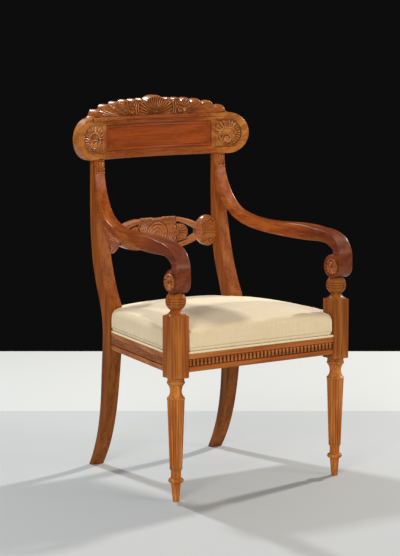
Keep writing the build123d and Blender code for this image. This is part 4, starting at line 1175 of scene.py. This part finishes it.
def apply_modifiers(piece):
    """Replaces a piece's mesh by its mesh with modifiers."""
    graph = bpy.context.evaluated_depsgraph_get()
    shaped = bpy.data.meshes.new_from_object(piece.evaluated_get(graph))
    piece.modifiers.clear()
    piece.data = shaped


def points_of(mesh):
    """A mesh's points as an array."""
    points = np.empty(len(mesh.vertices) * 3)
    mesh.vertices.foreach_get("co", points)
    return points.reshape(-1, 3)


def set_points(mesh, points):
    """Moves a mesh's points."""
    mesh.vertices.foreach_set("co", np.asarray(points, np.float32).ravel())
    mesh.update()


def relaxed(mesh, points, strength, rounds):
    """Points drawn towards their neighbours' middle, by a strength for each point."""
    edges = np.empty(len(mesh.edges) * 2, np.int64)
    mesh.edges.foreach_get("vertices", edges)
    first, second = edges.reshape(-1, 2).T
    count = np.bincount(first, minlength=len(points)) + np.bincount(second, minlength=len(points))
    for _ in range(rounds):
        total = np.zeros_like(points)
        for axis in range(3):
            total[:, axis] = np.bincount(first, points[second, axis], len(points))
            total[:, axis] += np.bincount(second, points[first, axis], len(points))
        points = points + strength[:, None] * (total / count[:, None] - points)
    return points


def ramp(low, high, value):
    """Rises from 0 to 1 between two values, whichever is larger."""
    return soft_step(0.0, 1.0, (value - low) / (high - low))


# Arm scrolls and tips: lengths in millimetres
KNOB_RADIUS = 29.5
KNOB_DROP = 28.0
CHEEK_GAP = 45.0
ROSETTE_RADIUS = 20.5
ROSETTE_FADE = (-0.3, 2.0)
ROSETTE_STEP = 0.7
ROSETTE_ROWS = 60
ROSETTE_SINK = 0.3
ROSETTE_BACK = -3.0
CAPITAL_HALF = 11.5
CAPITAL_HEIGHT = 34.0
CAPITAL_BORDER = 1.2
BORDER_SHARE = 0.8
PETAL_FOOT = 6.0
BUD_LEVEL = 9.0
BUD_RADIUS = 4.0
TIP_MOULDING = (3.0, 2.6)
CAPITAL_STEP = 0.6
CAPITAL_ROWS = 56
CAPITAL_RAISE = 0.1
CAPITAL_BACK = -2.0
CAPITAL_DROP = 0.6


def knob_axis(low):
    """Setback and level of an arm's scroll, from the arm's lowest corner."""
    return low.y + KNOB_RADIUS * MM, low.z + KNOB_DROP * MM


class CHAIR_OT_polish_arms(bpy.types.Operator):
    """Polish the arms, dark and worn towards their front rolls."""

    bl_idname = "chair.polish_arms"
    bl_label = "Polish arms"

    def execute(self, context):
        wood = context.scene.chair_timber
        ruddy = toned(honey_tones(), ARM)
        handled = (wood.handled_dark, wood.handled, wood.handled_light)
        for word, shift in (("left", 0.0), ("right", 0.6)):
            arm_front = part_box("arm_" + word)[0].y
            fade = (Y_AXIS, *[arm_front + place for place in ARM_FADE])
            timber = timber_material("Arm timber " + word, ruddy, FRONT_TO_BACK, (0.1 + shift, 0.2, 0.8),
                                     coat=0.36, far_tones=handled, fade=fade, gloss=0.28, worn=3.0)
            finish_nodes(["arm_" + word], timber)
        return {"FINISHED"}


def rosette_relief(u, v):
    """Leaf on a scroll's cheek, u forwards and v upwards, from 0 to 1."""
    scroll = volute(u, v, centre=(-2.0, 7.0), radius=8.0, pitch=5.2, turn=1.0)
    lower = radial_flutes(u, v, (-2.0, 6.0), low=-165.0, high=5.0, count=9.0, inner=8.0, outer=28.0)
    upper = radial_flutes(u, v, (-1.0, 5.0), low=5.0, high=175.0, count=7.0, inner=9.0, outer=18.0)
    edge = ROSETTE_RADIUS - np.hypot(u, v)
    return np.maximum.reduce([scroll, lower, upper]) * soft_step(*ROSETTE_FADE, edge)


def capital_relief(u, v):
    """Small palmette over a moulding on an arm's tip, from 0 to 1."""
    petals = radial_flutes(u, v, (0.0, PETAL_FOOT), low=12.0, high=168.0, count=5.0, inner=5.0, outer=26.0)
    bud = rounded_bar(np.hypot(u, v - BUD_LEVEL), BUD_RADIUS)
    moulding = rounded_bar(v - TIP_MOULDING[0], TIP_MOULDING[1])
    sides = rounded_bar(np.abs(u) - CAPITAL_HALF + CAPITAL_BORDER, CAPITAL_BORDER)
    top = rounded_bar(v - CAPITAL_HEIGHT + CAPITAL_BORDER, CAPITAL_BORDER)
    border = BORDER_SHARE * np.maximum(sides, top)
    return np.maximum.reduce([petals * (v > PETAL_FOOT), bud, moulding, border])


class CHAIR_OT_carve_arms(bpy.types.Operator):
    """Carve the leaves on the scrolls' cheeks and the palmettes on the arms' tips."""

    bl_idname = "chair.carve_arms"
    bl_label = "Carve arms"

    def execute(self, context):
        depth = context.scene.chair_carving.leaf_depth / MM
        # The carvings take the lighter honey tones, not the rolls' dark ones: on the rosettes this is painted
        # highlight
        timber = timber_material("Arm carving timber with painted highlight", honey_tones(), UPRIGHT, (0.3, 0.6, 0.2), coat=0.55)
        for hand, word in ((1, "right"), (-1, "left")):
            low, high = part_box("arm_" + word)
            outer = high.x if hand > 0 else low.x
            inner = outer - hand * CHEEK_GAP * MM
            parts = [self.rosette(knob_axis(low), outer, hand, depth),
                     self.rosette(knob_axis(low), inner, -hand, depth), self.capital(word, depth)]
            shells = [cleaned(*part) for part in parts]
            piece_from("arm_carving_" + word, *joined(shells), timber, "arm_wood")
        return {"FINISHED"}

    def rosette(self, knob, cheek, outwards, depth):
        """Leaf laid on one cheek of a scroll."""
        knob_y, knob_z = knob

        def half(u):
            return np.sqrt(np.clip(ROSETTE_RADIUS ** 2 - u ** 2, 0.0, None))

        def on_cheek(u, v, d):
            return np.stack([cheek + outwards * d * MM, knob_y - u * MM, knob_z + v * MM], -1)

        columns = round_ended_columns(-ROSETTE_RADIUS, ROSETTE_RADIUS, ROSETTE_STEP)
        return relief_slab(columns, mirrored(half), half, ROSETTE_ROWS,
                           lambda u, v: depth * rosette_relief(u, v) - ROSETTE_SINK, ROSETTE_BACK, on_cheek)

    def capital(self, word, depth):
        """Palmette laid on the front face of an arm's tip."""
        low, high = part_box("arm_" + word)
        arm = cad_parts["arm_" + word]
        tree = BVHTree.FromObject(arm, bpy.context.evaluated_depsgraph_get())
        base = high.z - CAPITAL_HEIGHT * MM
        tip = [point for point in points_of(arm.data) if point[2] > base]
        middle = (min(point[0] for point in tip) + max(point[0] for point in tip)) / 2
        drop = Vector((0, 0, CAPITAL_DROP * MM))

        def on_tip(u, v, d):
            spots = np.empty((*u.shape, 3))
            for place in np.ndindex(u.shape):
                start = Vector((middle + u[place] * MM, low.y, base + v[place] * MM))
                met = tree.ray_cast(start - drop, Vector((0, 1, 0)))[0]
                spots[place] = (start.x, met.y - d[place] * MM, start.z)
            return spots

        columns = even_columns(-CAPITAL_HALF, CAPITAL_HALF, CAPITAL_STEP)
        return relief_slab(columns, np.zeros_like, straight_edge(CAPITAL_HEIGHT), CAPITAL_ROWS,
                           lambda u, v: depth * capital_relief(u, v) + CAPITAL_RAISE, CAPITAL_BACK, on_tip)


# Seat, in metres: heights above the skirt's top, and gaps to the uprights, where cloth is held or smoothed
SKIRT_HELD = (0.012, -0.004)
SKIRT_SMOOTHED = (0.002, 0.016)
HELD_GAP = (0.012, 0.004)
PRESSED_GAP = (0.0006, 0.0)
STILL = 1e-9

# Smoothing of the cushion: how far points are drawn to their neighbours in a round, and the rounds
SMOOTHING_SHARE = 0.5
SMOOTHING_ROUNDS = 14


class CHAIR_OT_upholster(bpy.types.Operator):
    """Stuff and cover the seat."""

    bl_idname = "chair.upholster"
    bl_label = "Upholster seat"

    def execute(self, context):
        seat = context.scene.chair_seat
        cushion = remeshed("seat_cushion", ["seat_cover", "seat_stuffing", "hessian"], seat.remesh_size)
        rest = points_of(cushion.data)
        above_skirt = rest[:, 2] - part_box("seat_stuffing")[0].z
        held = np.maximum(ramp(*SKIRT_HELD, above_skirt), near_uprights(rest, *HELD_GAP))
        swell_cloth(cushion, held, seat.pressure, seat.frames)
        moved = points_of(cushion.data) - rest
        length = np.linalg.norm(moved, axis=1)
        cap = seat.swell * (1 - held)
        share = np.where(length > STILL, np.minimum(1.0, cap / np.maximum(length, STILL)), 1.0)
        points = rest + moved * share[:, None]
        upper = ramp(*SKIRT_SMOOTHED, above_skirt)
        points = relaxed(cushion.data, points, SMOOTHING_SHARE * upper, SMOOTHING_ROUNDS)
        pressed = near_uprights(points, *PRESSED_GAP)[:, None]
        set_points(cushion.data, points * (1 - pressed) + rest * pressed)
        cloth = cloth_material("Cushion cloth", seat.cream, seat.cream_shade, seat.thread_pitch, sheen=0.30)
        settled(cushion, cloth, sharp=80.0)
        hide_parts("seat_cover", "seat_stuffing")
        return {"FINISHED"}


def post_front():
    """Depth at which the rear posts start, where the side rails' mouldings end."""
    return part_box("side_rail_moulding_right")[1].y


def near_uprights(points, far, close):
    """How near points lie to the leg blocks and rear posts, from 0 at far to 1 at close."""
    near = np.zeros(len(points))
    for name in ("front_leg_left", "front_leg_right", "rear_post_left", "rear_post_right"):
        low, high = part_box(name)
        if name.startswith("rear"):
            low = Vector((low.x, post_front(), low.z))
        gap = np.maximum(np.maximum(low.x - points[:, 0], points[:, 0] - high.x), 0.0)
        gap = np.hypot(gap, np.maximum(np.maximum(low.y - points[:, 1], points[:, 1] - high.y), 0.0))
        near = np.maximum(near, ramp(far, close, gap))
    return near


LEAST_HOLD = 0.02


def swell_cloth(piece, held, pressure, frames):
    """Lets the stuffing push a cloth out, with points held by weight."""
    pins = piece.vertex_groups.new(name="Held")
    for index in np.nonzero(held > LEAST_HOLD)[0]:
        pins.add([int(index)], float(held[index]), "REPLACE")
    cloth = piece.modifiers.new("Cloth", "CLOTH")
    settings = cloth.settings
    settings.vertex_group_mass = pins.name
    settings.use_pressure = True
    settings.uniform_pressure_force = pressure
    settings.effector_weights.gravity = 0.0
    settings.tension_stiffness = 25.0
    settings.compression_stiffness = 25.0
    settings.bending_stiffness = 4.0
    cloth.point_cache.frame_start = 1
    cloth.point_cache.frame_end = frames
    scene = bpy.context.scene
    for step in range(1, frames + 1):
        scene.frame_set(step)
    apply_modifiers(piece)
    scene.frame_set(1)


# Piping, seams and stitches: lengths in metres
PIPING_STEP = 0.0022
PIPING_SHARE = 0.58
SEAM_STEP = 0.004
SEAM_FOOT = 0.008
SEAM_INSET = 0.0035
SEAM_SMOOTHING = 4
STITCH_END = 0.008
STITCH_REACH = 0.02
CLEAR_OF_SEAT = 0.05
FAR_ASIDE = 0.4
OVERHEAD = 0.6

# Shares of the cloths' colours for the piping and the stitches; the stitches' darker colour is partly painted
# shade of the seam pulled in under them
PIPING_PALE = 1.06
STITCH_SHADE_SHARE = 0.80
THREAD_DARK = 0.7


class CHAIR_OT_sew_piping(bpy.types.Operator):
    """Lay the piping along the cloth's lower edge, the seams round the uprights and the row of stitches."""

    bl_idname = "chair.sew_piping"
    bl_label = "Sew piping"

    def execute(self, context):
        seat = context.scene.chair_seat
        cushion = bpy.data.objects["seat_cushion"]
        surface = BVHTree.FromObject(cushion, context.evaluated_depsgraph_get())
        cloth = cloth_material("Piping cloth", shaded(seat.cream, PIPING_PALE), seat.cream, seat.thread_pitch,
                               sheen=0.12)
        runs = straight_runs("seat_piping")
        cords = [cord(between(start, end, PIPING_STEP), PIPING_SHARE * (high.z - low.z))
                 for low, high, start, end in runs]
        piece = piece_from("seat_piping_covered", *joined(cords), cloth, "seat_fabric")
        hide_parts("seat_piping")
        seams = [cord(path, seat.seam_radius) for path in seam_paths(surface)]
        piece_from("seat_seams", *joined(seams), cloth, "seat_fabric")
        # Stitches darker than the cloth: real stitches, their darkness painted shade of the dimples they pull
        # in
        tone = shaded(seat.cream_shade, STITCH_SHADE_SHARE)
        thread = cloth_material("Stitch thread with painted shade", tone, shaded(tone, THREAD_DARK), seat.thread_pitch,
                                sheen=0.0)
        stitches = [bead(spot, seat.stitch_radius) for spot in stitch_spots(surface, runs, seat)]
        piece_from("seat_stitches", *joined(stitches), thread, "seat_fabric")
        return {"FINISHED"}


def between(start, end, step):
    """Points from start to end at about a step."""
    count = max(2, int((end - start).length / step))
    return [start.lerp(end, index / count) for index in range(count + 1)]


def struck(surface, start, direction):
    """Point where a ray meets the cushion."""
    spot = surface.ray_cast(Vector(start), Vector(direction))[0]
    if spot is None:
        raise RuntimeError("A seam's ray misses the cushion.")
    return spot


def seam_paths(surface):
    """Paths of the seams round the leg blocks and the rear posts, each up one face and down another."""
    low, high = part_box("seat_cover")
    foot = low.z + SEAM_FOOT
    paths = []
    for hand, word in ((1, "right"), (-1, "left")):
        block_low, block_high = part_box("front_leg_" + word)
        post_low, post_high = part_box("rear_post_" + word)
        block_x = (block_low.x if hand > 0 else block_high.x) - hand * SEAM_INSET
        post_x = (post_low.x if hand > 0 else post_high.x) - hand * SEAM_INSET
        block_y, post_y = block_high.y + SEAM_INSET, post_front() - SEAM_INSET

        def on_front(z):
            return struck(surface, (block_x, low.y - CLEAR_OF_SEAT, z), (0, 1, 0))

        def on_back(z):
            return struck(surface, (post_x, high.y + CLEAR_OF_SEAT, z), (0, -1, 0))

        def on_side(y):
            return lambda z: struck(surface, (hand * FAR_ASIDE, y, z), (-hand, 0, 0))

        paths.append(seam(surface, foot, on_front, (block_x, block_y), on_side(block_y)))
        paths.append(seam(surface, foot, on_side(post_y), (post_x, post_y), on_back))
    return paths


def seam(surface, foot, rising, corner, falling):
    """One seam from the foot of a face, over the top by a corner, to the foot of the other face."""
    ends = []
    for face in (rising, falling):
        edge = face(foot)
        inward = (Vector((*corner, 0.0)) - Vector((edge.x, edge.y, 0.0))).normalized() * SEAM_STEP
        crown = struck(surface, (edge.x + inward.x, edge.y + inward.y, OVERHEAD), (0, 0, -1))
        upright = [face(z) for z in np.arange(foot, crown.z - SEAM_STEP, SEAM_STEP)]
        ends.append((upright, crown))
    (rise, start), (fall, end) = ends
    turn = Vector((*corner, start.z))
    over = []
    for a, b in ((start, turn), (turn, end)):
        for spot in between(Vector((a.x, a.y, OVERHEAD)), Vector((b.x, b.y, OVERHEAD)), SEAM_STEP):
            over.append(struck(surface, spot, (0, 0, -1)))
    path = [*rise, *over, *reversed(fall)]
    for _ in range(SEAM_SMOOTHING):
        path = [path[0], *[(a + 2 * b + c) / 4 for a, b, c in zip(path, path[1:], path[2:])], path[-1]]
    return path


def stitch_spots(surface, runs, seat):
    """Places of the stitches over the piping of the front and the sides."""
    middle = middle_of("seat_cover")
    spots = []
    for _, _, start, end in runs:
        along = (end - start).normalized()
        outward = along.cross(Vector((0, 0, 1)))
        if outward.dot((start + end) / 2 - middle) < 0:
            outward = -outward
        for spot in between(start + along * STITCH_END, end - along * STITCH_END, seat.stitch_pitch):
            level = spot + Vector((0, 0, seat.stitch_rise))
            hit = surface.ray_cast(level + outward * CLEAR_OF_SEAT, -outward)[0]
            if hit is not None and (hit - level).length < STITCH_REACH:
                spots.append(hit)
    return spots


# Cord under the cloth: sides of its section, depth of its twist as a share, and length of a turn in metres
CORD_SIDES = 12
TWIST_DEPTH = 0.035
TWIST_LENGTH = 0.016


def cord(path, radius):
    """Closed round cord along a path, with the faint twist of the cord under the cloth."""
    points, travelled = [], 0.0
    side = Vector((0, 0, 1)).cross(path[1] - path[0])
    if side.length < 1e-6:
        side = Vector((1, 0, 0))
    for index, middle in enumerate(path):
        forward = (path[min(index + 1, len(path) - 1)] - path[max(index - 1, 0)]).normalized()
        side = (side - forward * side.dot(forward)).normalized()
        upward = forward.cross(side)
        travelled += (middle - path[max(index - 1, 0)]).length
        for step in range(CORD_SIDES):
            turn = math.tau * step / CORD_SIDES
            twist = 1 + TWIST_DEPTH * math.sin(2 * turn + math.tau * travelled / TWIST_LENGTH)
            points.append(middle + (side * math.cos(turn) + upward * math.sin(turn)) * radius * twist)
    faces = []
    for ring in range(len(path) - 1):
        for step in range(CORD_SIDES):
            a, b = ring * CORD_SIDES + step, ring * CORD_SIDES + (step + 1) % CORD_SIDES
            faces.append((a, b, b + CORD_SIDES, a + CORD_SIDES))
    faces.append(tuple(reversed(range(CORD_SIDES))))
    faces.append(tuple((len(path) - 1) * CORD_SIDES + step for step in range(CORD_SIDES)))
    return points, faces


def islands(node_name):
    """Points of each separate solid in a CAD node."""
    made = bmesh.new()
    made.from_mesh(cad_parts[node_name].data)
    bmesh.ops.remove_doubles(made, verts=made.verts, dist=SAME_POINT)
    made.verts.ensure_lookup_table()
    left = set(made.verts)
    found = []
    while left:
        heap = [left.pop()]
        members = list(heap)
        while heap:
            for edge in heap.pop().link_edges:
                for vert in edge.verts:
                    if vert in left:
                        left.remove(vert)
                        heap.append(vert)
                        members.append(vert)
        found.append(np.array([vert.co for vert in members]))
    made.free()
    return found


END_SLICE = 1e-4


def straight_runs(node_name):
    """Box and end middles of each straight round run in a CAD node."""
    runs = []
    for points in islands(node_name):
        middle = points.mean(0)
        direction = np.linalg.svd(points - middle, full_matrices=False)[2][0]
        along = (points - middle) @ direction
        first = points[along < along.min() + END_SLICE].mean(0)
        last = points[along > along.max() - END_SLICE].mean(0)
        runs.append((Vector(points.min(0)), Vector(points.max(0)), Vector(first), Vector(last)))
    return runs


# Linings, in metres: distances between threads, the dust cover's sag, and the steps of their meshes
WEBBING_PITCH = 0.0016
HESSIAN_PITCH = 0.0024
COTTON_PITCH = 0.0009
COTTON_SAG = 0.002
STRIP_STEP = 0.004
STRIP_LANES = 8
STRIP_RIB = 0.00012
CLOTH_STEP = 0.02

# Shares of the linings' colours for their other threads
FLAX_DARK = 0.6
COTTON_LIGHT = 1.8


class CHAIR_OT_line_seat(bpy.types.Operator):
    """Lay the webbing, the base cloth and the black cloth under the seat."""

    bl_idname = "chair.line_seat"
    bl_label = "Line seat"

    def execute(self, context):
        seat = context.scene.chair_seat
        flax_dark = shaded(seat.flax, FLAX_DARK)
        webbing = cloth_material("Webbing", seat.flax, flax_dark, WEBBING_PITCH, sheen=0.05)
        base = cloth_material("Base cloth", seat.flax, flax_dark, HESSIAN_PITCH, sheen=0.05)
        black = cloth_material("Black cloth", shaded(seat.black_cotton, COTTON_LIGHT), seat.black_cotton,
                               COTTON_PITCH, sheen=0.10)
        for node_name in ("webbing_front_to_back", "webbing_side_to_side"):
            strips = [woven_strip(points, node_name.endswith("back")) for points in islands(node_name)]
            piece = piece_from(node_name + "_woven", *joined(strips), webbing, "webbing")
            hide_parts(node_name)
        for node_name, material, slot, sag in (("hessian", base, "hessian", 0.0),
                                               ("dust_cover", black, "dust_cloth", COTTON_SAG)):
            piece = sagging_cloth(node_name, sag)
            settled(piece, material)
            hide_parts(node_name)
        return {"FINISHED"}


def woven_strip(points, lengthwise):
    """Webbing strip in its solid's place, with a fine rib across it."""
    low, high = points.min(0), points.max(0)
    long_axis = Y_AXIS if lengthwise else X_AXIS
    wide_axis = X_AXIS if lengthwise else Y_AXIS
    length, width = high[long_axis] - low[long_axis], high[wide_axis] - low[wide_axis]
    steps = int(length / STRIP_STEP)
    place = []
    for level in (low[Z_AXIS], high[Z_AXIS]):
        for step in range(steps + 1):
            for lane in range(STRIP_LANES + 1):
                point = np.zeros(3)
                point[long_axis] = low[long_axis] + length * step / steps
                point[wide_axis] = low[wide_axis] + width * lane / STRIP_LANES
                point[Z_AXIS] = level + (STRIP_RIB if (step + lane) % 2 else -STRIP_RIB)
                place.append(point)
    return place, [face[::-1] for face in shell_faces(steps + 1, STRIP_LANES + 1)]


def sagging_cloth(node_name, sag):
    """Thin cloth with a CAD node's outline, cut finely and sagging between its edges."""
    low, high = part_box(node_name)
    made = bmesh.new()
    made.from_mesh(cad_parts[node_name].data)
    bmesh.ops.remove_doubles(made, verts=made.verts, dist=SAME_POINT)
    for normal, start, end in ((Vector((1, 0, 0)), low.x, high.x), (Vector((0, 1, 0)), low.y, high.y)):
        count = int((end - start) / CLOTH_STEP)
        for step in range(1, count):
            spot = normal * (start + (end - start) * step / count)
            parts = [*made.verts, *made.edges, *made.faces]
            bmesh.ops.bisect_plane(made, geom=parts, plane_co=spot, plane_no=normal)
    middle = (low + high) / 2
    for vert in made.verts:
        across = (vert.co.x - middle.x) / (high.x - low.x) * 2
        along = (vert.co.y - middle.y) / (high.y - low.y) * 2
        vert.co.z -= sag * max(0.0, 1 - across ** 2) * max(0.0, 1 - along ** 2)
    mesh = bpy.data.meshes.new(node_name + "_cloth")
    made.to_mesh(mesh)
    made.free()
    return bpy.data.objects.new(node_name + "_cloth", mesh)


# Stage, in metres: the floor's far edge and half width, the strip's soft edge, and what lamps and camera face
FLOOR_FAR = 1.769
FLOOR_HALF = 4.0
STRIP_EDGE = 0.004
LAMP_AIM = (0.0, 0.0, 0.45)
CAMERA_AIM = (0.0, -0.059, 0.369)

# Stage: share by which scuffs lighten the floor, camera's sensor in millimetres, and colour of the soft light
SCUFF_SHARE = 1.05
SENSOR_WIDTH = 36.0
SKY = (1.0, 0.98, 0.95)

# Square lamps: name, place, size, power in watts and colour
LAMPS = [
    ("Front right", (2.4, -3.9, 2.3), 1.8, 54.0, (1.0, 0.95, 0.89)),
    ("Front left", (-4.3, -3.8, 2.5), 2.2, 215.0, (1.0, 0.97, 0.93)),
    ("Back", (-0.20, 1.85, 2.68), 0.14, 54.0, (0.90, 0.96, 1.0)),
    ("Right", (4.2, 0.55, 2.9), 0.26, 205.0, (1.0, 0.97, 0.91)),
]


def area_lamp(name, spot, size, power, colour):
    """Square soft lamp at a spot, turned to the chair."""
    lamp = bpy.data.lights.new(name, "AREA")
    lamp.shape = "SQUARE"
    lamp.size = size
    lamp.energy = power
    lamp.color = colour
    holder = bpy.data.objects.new(name, lamp)
    bpy.context.scene.collection.objects.link(holder)
    holder.location = spot
    holder.rotation_euler = (Vector(LAMP_AIM) - Vector(spot)).to_track_quat("-Z", "Y").to_euler()


class CHAIR_OT_set_stage(bpy.types.Operator):
    """Set the floor, the light and the camera."""

    bl_idname = "chair.set_stage"
    bl_label = "Set stage"

    def execute(self, context):
        stage = context.scene.chair_stage
        self.lay_floor(stage)
        self.light(context.scene, stage)
        self.place_camera(context.scene, stage)
        context.scene.view_settings.view_transform = "Standard"
        return {"FINISHED"}

    def lay_floor(self, stage):
        """Pale floor with a white strip behind the chair, square to the camera."""
        mesh = bpy.data.meshes.new("floor")
        turn = Matrix.Rotation(stage.azimuth, 3, "Z")
        outline = ((-FLOOR_HALF, -FLOOR_HALF), (FLOOR_HALF, -FLOOR_HALF), (FLOOR_HALF, FLOOR_FAR),
                   (-FLOOR_HALF, FLOOR_FAR))
        corners = [turn @ Vector((x, y, 0.0)) for x, y in outline]
        mesh.from_pydata(corners, [], [(0, 1, 2, 3)])
        floor = bpy.data.objects.new("floor", mesh)
        bpy.context.scene.collection.objects.link(floor)
        material, tree, shader = new_material("Pale floor")
        place = node(tree, "ShaderNodeTexCoord")
        scuffs = stretched(tree, place.outputs["Object"], (3.0, 3.0, 3.0), 4.0)
        near = mixed(tree, scuffs, opaque(stage.floor), opaque(shaded(stage.floor, SCUFF_SHARE)))
        depth = node(tree, "ShaderNodeVectorMath", {0: place.outputs["Object"], 1: turn @ Vector((0, 1, 0))},
                     operation="DOT_PRODUCT").outputs["Value"]
        behind = ranged(tree, depth, stage.white_from - STRIP_EDGE, stage.white_from + STRIP_EDGE)
        tree.links.new(mixed(tree, behind, near, opaque(stage.white)), shader.inputs["Base Color"])
        shader.inputs["Roughness"].default_value = 0.55
        mesh.materials.append(material)

    def light(self, scene, stage):
        """Soft light from all round, a dark space to look at, and the lamps."""
        world = bpy.data.worlds.new("Studio")
        scene.world = world
        world.use_nodes = True
        tree = world.node_tree
        tree.nodes.clear()
        rays = node(tree, "ShaderNodeLightPath")
        seen = reckoned(tree, "MAXIMUM", rays.outputs["Is Camera Ray"], rays.outputs["Is Glossy Ray"])
        seen = reckoned(tree, "MAXIMUM", seen, rays.outputs["Is Transmission Ray"])
        dark = node(tree, "ShaderNodeBackground", {"Color": opaque(stage.backdrop), "Strength": 1.0})
        soft = node(tree, "ShaderNodeBackground", {"Color": opaque(SKY), "Strength": stage.fill})
        both = node(tree, "ShaderNodeMixShader", {0: seen, 1: soft.outputs[0], 2: dark.outputs[0]})
        output = tree.nodes.new("ShaderNodeOutputWorld")
        tree.links.new(both.outputs[0], output.inputs["Surface"])
        for lamp in LAMPS:
            area_lamp(*lamp)

    def place_camera(self, scene, stage):
        """Camera at the place from which the photograph was taken."""
        turn, tilt = stage.azimuth, stage.pitch
        back = Vector((math.sin(turn) * math.cos(tilt), -math.cos(turn) * math.cos(tilt), math.sin(tilt)))
        right = Vector((math.cos(turn), math.sin(turn), 0.0))
        camera = bpy.data.cameras.new("Camera")
        camera.lens = stage.lens
        camera.sensor_width = SENSOR_WIDTH
        camera.dof.use_dof = False
        holder = bpy.data.objects.new("Camera", camera)
        scene.collection.objects.link(holder)
        spot = Vector(CAMERA_AIM) + back * stage.distance
        holder.location = spot + right * stage.slide + back.cross(right) * stage.lift
        holder.rotation_euler = (-back).to_track_quat("-Z", "Y").to_euler()
        scene.camera = holder


class CHAIR_PT_tools(bpy.types.Panel):
    """Lists the chair's operators."""

    bl_idname = "CHAIR_PT_tools"
    bl_label = "Carved armchair"
    bl_space_type = "VIEW_3D"
    bl_region_type = "UI"
    bl_category = "Chair"

    def draw(self, context):
        for operator in OPERATORS:
            self.layout.operator(operator.bl_idname)


OPERATORS = (CHAIR_OT_shader_groups, CHAIR_OT_polish_frame, CHAIR_OT_carve_mouldings, CHAIR_OT_carve_cresting,
             CHAIR_OT_carve_crest, CHAIR_OT_carve_mid_rail, CHAIR_OT_polish_arms, CHAIR_OT_carve_arms,
             CHAIR_OT_upholster, CHAIR_OT_sew_piping, CHAIR_OT_line_seat, CHAIR_OT_set_stage)
SETTINGS = {"chair_timber": ChairTimber, "chair_carving": ChairCarving, "chair_seat": ChairSeat,
            "chair_stage": ChairStage}


def register():
    """Makes the settings, operators and panel known to Blender."""
    for cls in (*SETTINGS.values(), *OPERATORS, CHAIR_PT_tools):
        bpy.utils.register_class(cls)
    for name, cls in SETTINGS.items():
        setattr(bpy.types.Scene, name, PointerProperty(type=cls))


def unregister():
    """Takes the settings, operators and panel away again."""
    for name in SETTINGS:
        delattr(bpy.types.Scene, name)
    for cls in (CHAIR_PT_tools, *reversed(OPERATORS), *SETTINGS.values()):
        bpy.utils.unregister_class(cls)


def main():
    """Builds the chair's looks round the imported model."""
    register()
    bpy.ops.chair.shader_groups()
    bpy.ops.chair.polish_frame()
    bpy.ops.chair.carve_mouldings()
    bpy.ops.chair.carve_cresting()
    bpy.ops.chair.carve_crest()
    bpy.ops.chair.carve_mid_rail()
    bpy.ops.chair.polish_arms()
    bpy.ops.chair.carve_arms()
    bpy.ops.chair.upholster()
    bpy.ops.chair.sew_piping()
    bpy.ops.chair.line_seat()
    bpy.ops.chair.set_stage()
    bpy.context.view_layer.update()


if __name__ == "__main__":
    main()
